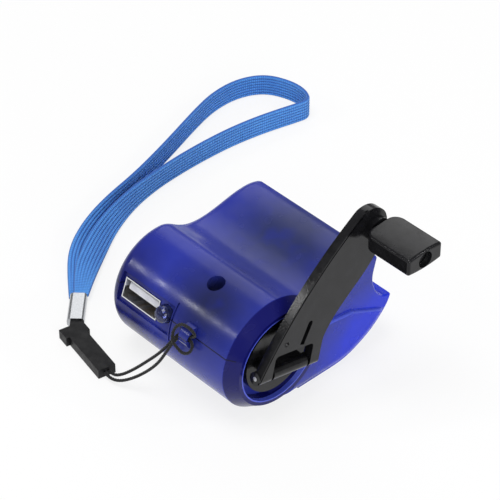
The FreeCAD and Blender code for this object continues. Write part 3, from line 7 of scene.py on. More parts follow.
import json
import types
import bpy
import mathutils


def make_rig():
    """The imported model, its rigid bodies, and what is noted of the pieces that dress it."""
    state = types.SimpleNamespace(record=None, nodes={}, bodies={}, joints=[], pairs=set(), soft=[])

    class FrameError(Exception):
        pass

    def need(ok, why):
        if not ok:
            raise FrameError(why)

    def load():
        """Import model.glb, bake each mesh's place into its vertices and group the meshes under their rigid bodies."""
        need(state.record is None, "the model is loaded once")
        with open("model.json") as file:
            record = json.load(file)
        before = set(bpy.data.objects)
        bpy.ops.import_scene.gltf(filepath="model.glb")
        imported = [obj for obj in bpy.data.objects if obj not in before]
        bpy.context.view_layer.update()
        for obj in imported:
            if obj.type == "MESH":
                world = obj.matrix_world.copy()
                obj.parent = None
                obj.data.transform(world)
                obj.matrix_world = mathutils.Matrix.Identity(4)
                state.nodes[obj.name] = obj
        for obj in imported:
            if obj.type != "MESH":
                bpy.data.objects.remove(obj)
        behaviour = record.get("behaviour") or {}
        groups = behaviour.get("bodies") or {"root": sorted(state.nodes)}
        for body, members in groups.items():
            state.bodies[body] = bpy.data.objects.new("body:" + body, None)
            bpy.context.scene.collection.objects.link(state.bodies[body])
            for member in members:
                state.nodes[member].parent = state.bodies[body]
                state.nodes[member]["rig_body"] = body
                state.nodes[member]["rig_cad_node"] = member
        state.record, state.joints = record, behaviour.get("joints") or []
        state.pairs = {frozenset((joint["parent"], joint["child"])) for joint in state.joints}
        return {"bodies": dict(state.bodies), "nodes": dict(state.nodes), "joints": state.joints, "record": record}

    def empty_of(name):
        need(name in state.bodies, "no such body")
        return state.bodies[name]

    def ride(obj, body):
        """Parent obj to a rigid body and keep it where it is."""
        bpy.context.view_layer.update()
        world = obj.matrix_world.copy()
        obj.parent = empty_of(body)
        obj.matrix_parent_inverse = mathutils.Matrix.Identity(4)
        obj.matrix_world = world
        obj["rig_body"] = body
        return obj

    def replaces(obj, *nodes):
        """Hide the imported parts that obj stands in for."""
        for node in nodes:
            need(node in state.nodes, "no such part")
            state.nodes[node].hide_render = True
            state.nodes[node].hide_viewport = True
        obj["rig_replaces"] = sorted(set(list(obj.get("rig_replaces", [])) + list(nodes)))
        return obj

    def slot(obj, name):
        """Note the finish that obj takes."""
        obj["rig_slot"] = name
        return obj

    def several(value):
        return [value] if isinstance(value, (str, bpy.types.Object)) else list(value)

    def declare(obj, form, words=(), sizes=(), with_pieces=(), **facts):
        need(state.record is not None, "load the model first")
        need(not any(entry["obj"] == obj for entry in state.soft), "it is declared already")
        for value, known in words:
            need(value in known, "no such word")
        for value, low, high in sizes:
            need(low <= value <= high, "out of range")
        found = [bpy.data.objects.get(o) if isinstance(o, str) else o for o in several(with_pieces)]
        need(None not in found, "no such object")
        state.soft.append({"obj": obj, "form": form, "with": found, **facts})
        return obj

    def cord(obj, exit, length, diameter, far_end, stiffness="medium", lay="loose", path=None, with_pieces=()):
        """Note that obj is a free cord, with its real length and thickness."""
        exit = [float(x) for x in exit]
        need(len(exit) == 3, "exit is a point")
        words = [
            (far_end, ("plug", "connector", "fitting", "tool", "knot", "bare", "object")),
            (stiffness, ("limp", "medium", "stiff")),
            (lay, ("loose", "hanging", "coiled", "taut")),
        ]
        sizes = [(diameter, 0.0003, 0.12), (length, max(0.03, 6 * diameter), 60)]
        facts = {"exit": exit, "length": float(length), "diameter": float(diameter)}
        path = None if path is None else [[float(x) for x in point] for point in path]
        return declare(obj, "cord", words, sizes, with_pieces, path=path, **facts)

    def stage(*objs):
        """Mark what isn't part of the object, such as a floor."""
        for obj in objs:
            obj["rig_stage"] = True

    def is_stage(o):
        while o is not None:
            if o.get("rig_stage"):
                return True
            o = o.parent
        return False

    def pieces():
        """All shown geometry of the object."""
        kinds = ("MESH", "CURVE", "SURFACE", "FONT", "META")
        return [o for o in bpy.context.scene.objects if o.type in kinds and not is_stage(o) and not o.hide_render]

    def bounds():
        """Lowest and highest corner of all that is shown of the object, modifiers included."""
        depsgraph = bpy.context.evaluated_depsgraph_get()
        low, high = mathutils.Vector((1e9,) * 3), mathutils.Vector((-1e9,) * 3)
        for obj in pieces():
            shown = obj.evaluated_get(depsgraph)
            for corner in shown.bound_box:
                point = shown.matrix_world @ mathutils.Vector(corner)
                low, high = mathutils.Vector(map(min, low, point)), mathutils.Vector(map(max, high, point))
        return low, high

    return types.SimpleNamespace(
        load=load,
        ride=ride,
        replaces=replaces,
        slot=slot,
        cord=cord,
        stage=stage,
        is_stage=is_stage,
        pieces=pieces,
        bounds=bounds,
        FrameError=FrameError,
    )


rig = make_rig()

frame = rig.load()

import json
import logging
import math
from dataclasses import dataclass
from enum import Enum
from typing import Protocol

import bpy
from mathutils import Vector

Colour = tuple[float, float, float]
Point = tuple[float, float, float]
SidePoint = tuple[float, float]
Span = tuple[float, float]
Socket = bpy.types.NodeSocket
Node = bpy.types.Node
Material = bpy.types.Material

PER_MM: Point = (1000.0, 1000.0, 1000.0)
UNIT: Span = (0.0, 1.0)
FALLING: Span = (1.0, 0.0)
HALF_PERIOD = 0.5
OPAQUE_WHITE = (1.0, 1.0, 1.0, 1.0)
CRANK_CENTRE: Point = (0.01265, -0.01168, 0.0160)
SIZE_FILE = "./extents.json"

# A Mix node's colour sockets go by number, because its other sockets have the same names.
MIX_FIRST_COLOUR = 6
MIX_SECOND_COLOUR = 7
MIX_RESULT_COLOUR = 2

log = logging.getLogger("charger")


class Body(Enum):
    """The CAD bodies that new pieces ride on."""

    CASE = "case"


class Stiffness(Enum):
    """How a cord bends."""

    LIMP = "limp"
    MEDIUM = "medium"


class Pattern(Enum):
    """How the yarn of a cord runs."""

    FLAT_BRAID = "flat braid"
    TWIST = "twist"


# ---------- node graphs


class Graph:
    """A node tree, with short calls that add nodes and join them."""

    def __init__(self, tree: bpy.types.NodeTree) -> None:
        """Takes the tree that the nodes are added to."""
        self.tree = tree

    def feed(self, node: Node, name: str | int, value: object) -> None:
        """Fills one input of a node.

        Args:
            node: the node.
            name: the name or number of its input.
            value: a socket to join, or the value to set.
        """
        if isinstance(value, Socket):
            self.tree.links.new(value, node.inputs[name])
        else:
            node.inputs[name].default_value = value

    def node(self, kind: str, inputs: dict[str | int, object] | None = None,
             **settings: object) -> Node:
        """Adds a node.

        Args:
            kind: the node's type name.
            inputs: what each named or numbered input is fed with.
            **settings: properties of the node, such as its operation.

        Returns:
            The new node.
        """
        made = self.tree.nodes.new(kind)
        for name, value in settings.items():
            setattr(made, name, value)
        for name, value in (inputs or {}).items():
            self.feed(made, name, value)
        return made

    def calculate(self, operation: str, *values: Socket | float) -> Socket:
        """Adds one step of arithmetic on sockets or numbers."""
        inputs = dict(enumerate(values))
        return self.node("ShaderNodeMath", inputs, operation=operation).outputs["Value"]

    def axes(self, place: Socket) -> list[Socket]:
        """Splits a place into its x, y and z."""
        return list(self.node("ShaderNodeSeparateXYZ", {"Vector": place}).outputs)


@dataclass(frozen=True)
class Mottle:
    """Soft noise over a piece, read between two of its values, with so many units to a metre."""

    scale: float
    detail: float
    span: Span = UNIT
    units_per_metre: Point = PER_MM


@dataclass(frozen=True)
class Relief:
    """Relief too fine for the mesh, with the share of it that shows and its depth."""

    strength: float
    depth: float


class ShaderGraph(Graph):
    """The node tree of a material whose surface is one Principled shader."""

    def __init__(self, name: str) -> None:
        """Starts a material.

        Args:
            name: the material's name.
        """
        self.made = bpy.data.materials.new(name)
        self.made.use_nodes = True
        super().__init__(self.made.node_tree)

    def place(self, centre: Point = (0, 0, 0), scale: Point = PER_MM) -> Socket:
        """Gives the place on the piece, about a centre and scaled, from Object coordinates.

        Args:
            centre: the point that becomes the origin.
            scale: the scale on each axis, per millimetre unless it is given.

        Returns:
            The socket that holds the place.
        """
        return self.node("ShaderNodeMapping", {
            "Vector": self.node("ShaderNodeTexCoord").outputs["Object"],
            "Location": [-along * factor for along, factor in zip(centre, scale)],
            "Scale": scale,
        }).outputs["Vector"]

    def noise(self, mottle: Mottle) -> Socket:
        """Gives the plain noise behind some patches.

        Args:
            mottle: the patches.

        Returns:
            The noise value, from 0 to 1.
        """
        return self.node("ShaderNodeTexNoise", {
            "Vector": self.place(scale=mottle.units_per_metre),
            "Scale": mottle.scale,
            "Detail": mottle.detail,
        }).outputs["Fac"]

    def mottle(self, mottle: Mottle, result: Span = UNIT) -> Socket:
        """Gives a value that changes softly over the piece, between the ends of a span."""
        return self.ranged(self.noise(mottle), mottle.span, result)

    def ranged(self, value: Socket, source: Span = UNIT, result: Span = UNIT) -> Socket:
        """Spreads a value from its own span to a new one, and keeps it within that."""
        limits = dict(zip(("From Min", "From Max", "To Min", "To Max"), (*source, *result)))
        return self.node("ShaderNodeMapRange", {"Value": value, **limits}, clamp=True).outputs["Result"]

    def blend(self, factor: Socket, first: Socket | Colour, second: Socket | Colour) -> Socket:
        """Mixes two colours.

        Args:
            factor: 0 for the first colour and 1 for the second.
            first: a colour or a colour socket.
            second: a colour or a colour socket.

        Returns:
            The mixed colour.
        """
        first, second = (colour if isinstance(colour, Socket) else (*colour, 1.0)
                         for colour in (first, second))
        inputs = {"Factor": factor, MIX_FIRST_COLOUR: first, MIX_SECOND_COLOUR: second}
        return self.node("ShaderNodeMix", inputs, data_type="RGBA").outputs[MIX_RESULT_COLOUR]

    def bump(self, height: Socket, relief: Relief) -> Socket:
        """Gives the surface's direction, tilted by a height from 0 to 1."""
        inputs = {"Height": height, "Strength": relief.strength, "Distance": relief.depth}
        return self.node("ShaderNodeBump", inputs).outputs["Normal"]

    def material(self, **inputs: Socket | float) -> Material:
        """Finishes the material.

        Args:
            **inputs: what the surface shader's inputs are fed with, named with underscores for spaces.

        Returns:
            The material.
        """
        surface = self.tree.nodes["Principled BSDF"]
        for name, value in inputs.items():
            self.feed(surface, name.replace("_", " "), value)
        return self.made


def around(middle: float, change: Span) -> Span:
    """Gives the span that a change makes about a middle value."""
    return middle + change[0], middle + change[1]


# ---------- finishes


class Finish(Protocol):
    """Anything that can make a material."""

    def material(self) -> Material:
        """Builds the material."""


Finishes = tuple[tuple[Finish, tuple[str, ...]], ...]


@dataclass(frozen=True)
class PaintedLightZone:
    """An ellipsoid of painted shade or painted glow on the case, full from some share of the way in."""

    centre: Point
    radii: Point
    colour: Colour
    full: float

    def share(self, graph: ShaderGraph, clouds: Socket) -> Socket:
        """Gives how much of the zone's painted shade or glow shows.

        Args:
            graph: the material's graph.
            clouds: an uneven value added before the edge is drawn.

        Returns:
            A value that rises from 0 at the edge to 1 where the zone is full.
        """
        place = graph.place(self.centre, tuple(1 / radius for radius in self.radii))
        ball = graph.node("ShaderNodeTexGradient", {"Vector": place}, gradient_type="SPHERICAL")
        uneven = graph.calculate("ADD", ball.outputs["Fac"], clouds)
        return graph.ranged(uneven, (0.0, self.full))


# The next three zones are painted shade where the works lie behind the clear case.
PAINTED_SHADE_UNDER_HUMP = PaintedLightZone(
    centre=(-0.01, 0.012, 0.03), radii=(0.023, 0.022, 0.02), colour=(0.022, 0.032, 0.14), full=0.7)
PAINTED_SHADE_UNDER_BARREL = PaintedLightZone(
    centre=(-0.003, -0.019, 0.027), radii=(0.018, 0.017, 0.016), colour=(0.016, 0.02, 0.075), full=0.85)
PAINTED_SHADE_AT_END = PaintedLightZone(
    centre=(-0.031, -0.024, 0.015), radii=(0.016, 0.02, 0.022), colour=(0.01, 0.012, 0.11), full=0.6)
# Painted glow: the empty tail lit through the clear case.
PAINTED_GLOW_IN_TAIL = PaintedLightZone(
    centre=(0.013, 0.024, 0.003), radii=(0.022, 0.024, 0.019), colour=(0.012, 0.035, 0.7), full=0.45)


@dataclass(frozen=True)
class Seam:
    """The joint of the case's halves, by its y and z at the front, the bend and the tail."""

    front: SidePoint = (-0.0265, 0.0221)
    bend: SidePoint = (0.0143, 0.0160)
    tail: SidePoint = (0.0293, 0.0086)

    def height_above(self, graph: ShaderGraph, y: Socket, z: Socket) -> Socket:
        """Gives how far a point lies above the joint.

        Args:
            graph: the material's graph.
            y: how far to the tail the point lies.
            z: how high it lies.

        Returns:
            The height, which is negative below the joint.
        """
        (front_y, front_z), (bend_y, bend_z), (tail_y, tail_z) = self.front, self.bend, self.tail
        to_bend = graph.ranged(y, (front_y, bend_y), (front_z, bend_z))
        fall = graph.ranged(y, (bend_y, tail_y), (0.0, bend_z - tail_z))
        joint = graph.calculate("SUBTRACT", to_bend, fall)
        return graph.calculate("SUBTRACT", z, joint)


@dataclass(frozen=True)
class CrankRing:
    """The sloping ring round the crank, whose painted shade goes a margin past it and fades."""

    centre: Point = CRANK_CENTRE
    start_x: float = 0.00905
    radius: float = 0.0160
    slope: float = 2 / 3
    margin: float = 0.00022
    fade: float = 0.00044

    def from_axis(self, graph: ShaderGraph) -> Socket:
        """Gives how far a point lies from the crank's axis, which runs along x."""
        offset = graph.place(self.centre, scale=(0.0, 1.0, 1.0))
        return graph.node("ShaderNodeVectorMath", {0: offset}, operation="LENGTH").outputs["Value"]

    def cover(self, graph: ShaderGraph, x: Socket, distance: Socket) -> Socket:
        """Says where the ring and what lies inside it are, which take the painted shade.

        Args:
            graph: the material's graph.
            x: the point's place along the crank's axis.
            distance: how far the point lies from that axis.

        Returns:
            A value of 1 on the ring and inside it, and of 0 on the case around it.
        """
        past_start = graph.calculate("SUBTRACT", x, self.start_x)
        shrunk = graph.calculate("MULTIPLY", past_start, self.slope)
        sloped = graph.calculate("ADD", distance, shrunk)
        edge = self.radius + self.margin
        inside = graph.ranged(sloped, (edge, edge + self.fade), FALLING)
        return graph.calculate("MULTIPLY", inside, graph.ranged(past_start, (0.0, self.margin)))


@dataclass(frozen=True)
class TintedPlastic:
    """Clear blue plastic with painted shade where the works lie behind it and a painted glow where it is empty."""

    name: str = "tinted_blue_plastic"
    body: Colour = (0.026, 0.040, 0.360)
    painted_light_zones: tuple[PaintedLightZone, ...] = (PAINTED_SHADE_UNDER_HUMP, PAINTED_SHADE_UNDER_BARREL, PAINTED_SHADE_AT_END, PAINTED_GLOW_IN_TAIL)
    seam: Seam = Seam()
    ring: CrankRing = CrankRing()
    # Painted shade on the crank ring and in its recess.
    ring_painted_shade: Colour = (0.004, 0.005, 0.115)
    gap_colour: Colour = (0.003, 0.003, 0.030)
    # Painted highlight along the seam's step and the crank ring's lip.
    painted_highlight_colour: Colour = (0.085, 0.120, 0.700)
    side_plane: float = 0.0113
    step_start: float = -0.004
    lip_radius: float = 0.0124
    seam_width: float = 0.00022
    step_width: float = 0.00044
    lip_width: float = 0.00033
    line_core: float = 0.4
    clouds: Mottle = Mottle(0.16, detail=2.0, span=(0.3, 0.7))
    cloud_change: Span = (-0.06, 0.06)
    smears: Mottle = Mottle(0.25, detail=1.0, span=(0.3, 0.7))
    roughness: Span = (0.18, 0.28)
    ripples: Mottle = Mottle(5.0, detail=2.0)
    ripple_relief: Relief = Relief(0.08, depth=0.00004)
    refraction: float = 1.49
    transmission: float = 0.12
    specular: float = 0.22

    def line(self, graph: ShaderGraph, distance: Socket, width: float) -> Socket:
        """Gives 1 where a distance is about 0, and 0 from a width on."""
        core = width * self.line_core
        return graph.ranged(graph.calculate("ABSOLUTE", distance), (core, width), FALLING)

    def tinted(self, graph: ShaderGraph) -> Socket:
        """Paints shade where the works lie behind the case, and a glow in its empty tail, over the body's colour.

        Args:
            graph: the material's graph.

        Returns:
            The colour before any line.
        """
        clouds = graph.mottle(self.clouds, self.cloud_change)
        tint = self.body
        # Each zone paints shade or glow over the body's colour.
        for zone in self.painted_light_zones:
            tint = graph.blend(zone.share(graph, clouds), tint, zone.colour)
        return tint

    def lined(self, graph: ShaderGraph, tint: Socket) -> Socket:
        """Draws the painted shade on the ring, the dark joint, and painted highlights along the seam's step and the
        ring's lip on the crank's side.

        Args:
            graph: the material's graph.
            tint: the colour before the lines.

        Returns:
            The colour with the lines.
        """
        x, y, z = graph.axes(graph.node("ShaderNodeTexCoord").outputs["Object"])
        distance = self.ring.from_axis(graph)
        on_side = graph.calculate("GREATER_THAN", x, self.side_plane)
        above = self.seam.height_above(graph, y, z)
        joint = graph.calculate("SUBTRACT", self.line(graph, above, self.seam_width), on_side)
        # Painted highlight lines along the seam's step behind the ring and round the ring's lip.
        above_step = graph.calculate("ADD", above, self.seam_width)
        behind_ring = graph.calculate("GREATER_THAN", y, self.step_start)
        step = graph.calculate("MULTIPLY", self.line(graph, above_step, self.step_width), behind_ring)
        past_lip = graph.calculate("SUBTRACT", distance, self.lip_radius)
        painted_highlights = graph.calculate("MAXIMUM", step, self.line(graph, past_lip, self.lip_width))
        # Painted shade over the ring and its recess.
        ring_shaded = graph.blend(self.ring.cover(graph, x, distance), tint, self.ring_painted_shade)
        seamed = graph.blend(joint, ring_shaded, self.gap_colour)
        # The painted highlights show on the crank's side only.
        return graph.blend(graph.calculate("MULTIPLY", painted_highlights, on_side), seamed, self.painted_highlight_colour)

    def material(self) -> Material:
        """Builds the case's material.

        Returns:
            The material.
        """
        graph = ShaderGraph(self.name)
        return graph.material(
            Base_Color=self.lined(graph, self.tinted(graph)),
            Roughness=graph.mottle(self.smears, self.roughness),
            Normal=graph.bump(graph.noise(self.ripples), self.ripple_relief),
            IOR=self.refraction,
            Transmission_Weight=self.transmission,
            Specular_IOR_Level=self.specular,
        )


@dataclass(frozen=True)
class MouldedPlastic:
    """An opaque moulded plastic with the fine grain of its mould and a few rubbed patches."""

    name: str
    colour: Colour
    rubbed: Colour
    roughness: float = 0.42
    grain_scale: float = 6.0
    grain_detail: float = 2.0
    grain_strength: float = 0.35
    grain_depth: float = 0.00005
    specular: float = 0.5
    patches: Mottle = Mottle(0.35, detail=6.0, span=(0.42, 0.72))
    wear: Mottle = Mottle(0.6, detail=2.0, span=(0.35, 0.65))
    wear_change: Span = (-0.05, 0.07)

    def material(self) -> Material:
        """Builds the plastic.

        Returns:
            The material.
        """
        graph = ShaderGraph(self.name)
        grain = graph.noise(Mottle(self.grain_scale, self.grain_detail))
        return graph.material(
            Base_Color=graph.blend(graph.mottle(self.patches), self.colour, self.rubbed),
            Roughness=graph.mottle(self.wear, around(self.roughness, self.wear_change)),
            Normal=graph.bump(grain, Relief(self.grain_strength, self.grain_depth)),
            Specular_IOR_Level=self.specular,
        )


@dataclass(frozen=True)
class WorkedMetal:
    """A plated or bare metal with the fine lines of rolling, drawing or turning."""

    name: str
    colour: Colour
    dull: Colour
    roughness: float
    lines_per_metre: Point = (150.0, 3000.0, 3000.0)
    line_detail: float = 4.0
    stains: Mottle = Mottle(0.5, detail=5.0)
    stain_change: Span = (0.6, 1.3)
    shade_span: Span = (0.25, 0.75)
    wear_change: Span = (-0.06, 0.12)
    relief: Relief = Relief(0.15, depth=0.00002)
    refraction: float = 2.5

    def material(self) -> Material:
        """Builds the metal.

        Returns:
            The material.
        """
        graph = ShaderGraph(self.name)
        drawn = graph.noise(Mottle(scale=1.0, detail=self.line_detail, units_per_metre=self.lines_per_metre))
        shade = graph.calculate("MULTIPLY", drawn, graph.mottle(self.stains, self.stain_change))
        return graph.material(
            Base_Color=graph.blend(graph.ranged(shade, self.shade_span), self.colour, self.dull),
            Roughness=graph.ranged(drawn, result=around(self.roughness, self.wear_change)),
            Normal=graph.bump(drawn, self.relief),
            Metallic=1.0,
            IOR=self.refraction,
        )


@dataclass(frozen=True)
class ClearResin:
    """The resin of a lamp, water-clear in itself, with a painted reflection of the blue case as its colour and faint
    darker streaks inside.
    """

    name: str = "clear_lamp_resin"
    # Painted reflection: the blue of the case around the lamp, seen in its clear resin.
    colour: Colour = (0.14, 0.18, 0.55)
    core: Colour = (0.02, 0.03, 0.20)
    streaks: Mottle = Mottle(0.6, detail=3.0, units_per_metre=(1500.0, 400.0, 1500.0))
    core_span: Span = (0.4, 0.7)
    roughness: Span = (0.03, 0.12)
    refraction: float = 1.5
    transmission: float = 0.85

    def material(self) -> Material:
        """Builds the resin.

        Returns:
            The material.
        """
        graph = ShaderGraph(self.name)
        streaks = graph.noise(self.streaks)
        return graph.material(
            Base_Color=graph.blend(graph.ranged(streaks, self.core_span), self.colour, self.core),
            Roughness=graph.ranged(streaks, result=self.roughness),
            IOR=self.refraction,
            Transmission_Weight=self.transmission,
        )


@dataclass(frozen=True)
class CoatedBoard:
    """Glass-fibre board under green lacquer, with tracks and solder spots that show through."""

    name: str = "coated_board"
    lacquer: Colour = (0.010, 0.120, 0.045)
    track: Colour = (0.030, 0.230, 0.070)
    solder: Colour = (0.62, 0.62, 0.60)
    track_scale: float = 0.5
    track_pitch: float = 0.12
    track_edge: Span = (0.05, 0.07)
    spot_scale: float = 0.42
    spot_edge: Span = (0.14, 0.20)
    roughness: Span = (0.32, 0.22)
    relief: Relief = Relief(0.4, depth=0.00004)

    def cells(self, graph: ShaderGraph, scale: float, distance: str) -> Socket:
        """Gives how far the nearest of many scattered points is, in a named measure."""
        inputs = {"Vector": graph.place(), "Scale": scale}
        return graph.node("ShaderNodeTexVoronoi", inputs, distance=distance).outputs["Distance"]

    def material(self) -> Material:
        """Builds the board.

        Returns:
            The material.
        """
        graph = ShaderGraph(self.name)
        steps = self.cells(graph, self.track_scale, "MANHATTAN")
        tracks = graph.ranged(graph.calculate("PINGPONG", steps, self.track_pitch), self.track_edge)
        spots = graph.ranged(self.cells(graph, self.spot_scale, "EUCLIDEAN"), self.spot_edge, FALLING)
        coated = graph.blend(tracks, self.lacquer, self.track)
        return graph.material(
            Base_Color=graph.blend(spots, coated, self.solder),
            Roughness=graph.ranged(spots, result=self.roughness),
            Normal=graph.bump(tracks, self.relief),
        )


@dataclass(frozen=True)
class Banded:
    """Bands across one axis, as on wound wire or a capacitor's striped sleeve."""

    name: str
    band: Colour
    between: Colour
    axis: int
    pitch_mm: float
    share: float
    metallic: float
    roughness: float
    edge: Span = (0.45, 0.55)
    dust: Mottle = Mottle(1.2, detail=4.0)
    dust_change: Span = (-0.05, 0.15)
    relief: Relief = Relief(0.4, depth=0.00008)

    def material(self) -> Material:
        """Builds the banded finish.

        Returns:
            The material.
        """
        graph = ShaderGraph(self.name)
        along = graph.calculate("DIVIDE", graph.axes(graph.place())[self.axis], self.pitch_mm)
        saw = graph.calculate("PINGPONG", along, HALF_PERIOD)
        edge = tuple(self.share * end for end in self.edge)
        bands = graph.ranged(saw, edge, FALLING)
        return graph.material(
            Base_Color=graph.blend(bands, self.between, self.band),
            Roughness=graph.mottle(self.dust, around(self.roughness, self.dust_change)),
            Normal=graph.bump(saw, self.relief),
            Metallic=self.metallic,
        )


@dataclass(frozen=True)
class Yarn:
    """Plaited or twisted yarn, by how far along and across a strand a point is."""

    name: str
    light: Colour
    dark: Colour
    stitch: float
    slant: float
    relief: Relief
    sheen: float
    stitch_share: float = 1.2
    fuzz: Mottle = Mottle(4.0, detail=4.0)
    fuzz_change: Span = (-0.1, 0.5)
    wear: Mottle = Mottle(0.12, detail=3.0, span=(0.35, 0.65))
    most_worn: float = 0.25
    groove_span: Span = (0.45, 0.95)
    groove_shade: float = 0.9
    roughness: Span = (0.62, 0.85)
    sheen_roughness: float = 0.5
    specular: float = 0.3

    def stitches(self, graph: ShaderGraph, along: Socket, side: Socket) -> Socket:
        """Lays slanting stitches along a strand.

        Args:
            graph: the material's graph.
            along: how far along the strand a point is.
            side: how far from the strand's middle line it is.

        Returns:
            A value that rises and falls with each stitch.
        """
        leaning = graph.calculate("MULTIPLY", side, self.slant)
        phase = graph.calculate("ADD", graph.calculate("DIVIDE", along, self.stitch), leaning)
        wave = graph.calculate("PINGPONG", phase, HALF_PERIOD)
        return graph.calculate("MULTIPLY", wave, self.stitch_share)

    def material(self) -> Material:
        """Builds the yarn.

        Returns:
            The material.
        """
        graph = ShaderGraph(self.name)
        along, across = (graph.node("ShaderNodeAttribute", attribute_name=name).outputs["Fac"]
                         for name in ("along", "across"))
        side = graph.calculate("ABSOLUTE", across)
        fuzz = graph.noise(self.fuzz)
        shade = graph.calculate("ADD", self.stitches(graph, along, side),
                                graph.ranged(fuzz, result=self.fuzz_change))
        yarn = graph.blend(graph.ranged(shade), self.dark, self.light)
        faded = graph.blend(graph.mottle(self.wear, (0.0, self.most_worn)), yarn, self.light)
        # Painted shade in the grooves, darker towards each strand's sides.
        groove = graph.ranged(side, self.groove_span, (0.0, self.groove_shade))
        return graph.material(
            Base_Color=graph.blend(groove, faded, self.dark),
            Roughness=graph.ranged(fuzz, result=self.roughness),
            Normal=graph.bump(shade, self.relief),
            Sheen_Weight=self.sheen,
            Sheen_Roughness=self.sheen_roughness,
            Specular_IOR_Level=self.specular,
        )


STRAP_YARN = Yarn(
    "blue_strap_yarn", light=(0.12, 0.44, 1.0), dark=(0.013, 0.075, 0.39), stitch=0.00065,
    slant=0.45, relief=Relief(0.7, depth=0.00012), sheen=0.22)
STRING_YARN = Yarn(
    "black_string_yarn", light=(0.018, 0.018, 0.02), dark=(0.004, 0.004, 0.005), stitch=0.00045,
    slant=0.5, relief=Relief(0.7, depth=0.00006), sheen=0.15)
BLACK_PLASTIC = MouldedPlastic(
    "black_plastic", colour=(0.006, 0.006, 0.007), rubbed=(0.012, 0.012, 0.014), roughness=0.15,
    grain_scale=3.0, specular=0.28)
CLIP_PLASTIC = MouldedPlastic(
    "clip_plastic", colour=(0.004, 0.004, 0.005), rubbed=(0.01, 0.01, 0.011), roughness=0.45,
    grain_scale=3.5, grain_depth=0.00009, specular=0.22)
WHITE_PLASTIC = MouldedPlastic(
    "white_plastic", colour=(0.78, 0.79, 0.84), rubbed=(0.62, 0.63, 0.7), roughness=0.45)
GEAR_PLASTIC = MouldedPlastic(
    "gear_plastic", colour=(0.74, 0.73, 0.68), rubbed=(0.6, 0.59, 0.52), roughness=0.48)
PACKAGE = MouldedPlastic(
    "black_package", colour=(0.014, 0.014, 0.015), rubbed=(0.03, 0.03, 0.032), roughness=0.6,
    grain_scale=9.0)
WIRE_COVER = MouldedPlastic(
    "red_wire_cover", colour=(0.42, 0.018, 0.014), rubbed=(0.34, 0.03, 0.02), roughness=0.4)
FERRITE = MouldedPlastic(
    "ferrite", colour=(0.03, 0.029, 0.029), rubbed=(0.06, 0.058, 0.055), roughness=0.66,
    grain_scale=4.0, grain_depth=0.0001)
STEEL = WorkedMetal(
    "steel", colour=(0.56, 0.57, 0.58), dull=(0.4, 0.4, 0.41), roughness=0.26)
PLATED_SHEET = WorkedMetal(
    "plated_sheet", colour=(0.8, 0.81, 0.83), dull=(0.66, 0.67, 0.69), roughness=0.2)
BRASS = WorkedMetal(
    "brass", colour=(0.8, 0.6, 0.27), dull=(0.6, 0.43, 0.18), roughness=0.28)
CRIMP_METAL = WorkedMetal(
    "crimp_metal", colour=(0.5, 0.51, 0.53), dull=(0.45, 0.46, 0.48), roughness=0.22,
    lines_per_metre=(2500.0, 2500.0, 300.0))
COPPER_WINDING = Banded(
    "copper_winding", band=(0.7, 0.3, 0.14), between=(0.3, 0.1, 0.05), axis=0, pitch_mm=0.35,
    share=0.7, metallic=1.0, roughness=0.3)
CAPACITOR_SLEEVE = Banded(
    "capacitor_sleeve", band=(0.55, 0.57, 0.62), between=(0.012, 0.016, 0.055), axis=2, pitch_mm=9.0,
    share=0.22, metallic=0.0, roughness=0.32)


def show(name: str, data: bpy.types.ID) -> bpy.types.Object:
    """Puts a new object in the scene.

    Args:
        name: its name.
        data: its mesh, curve, lamp or camera.

    Returns:
        The object.
    """
    shown = bpy.data.objects.new(name, data)
    bpy.context.scene.collection.objects.link(shown)
    return shown


def dress(nodes: tuple[str, ...], finish: Finish) -> None:
    """Gives CAD nodes one finish.

    Args:
        nodes: the nodes' names.
        finish: what they are made of.
    """
    material = finish.material()
    for name in nodes:
        piece = frame["nodes"][name]
        if not piece.material_slots:
            piece.data.materials.append(material)
        for slot in piece.material_slots:
            slot.material = material
        log.info("dressed %s with %s", name, material.name)


# ---------- cords of strands


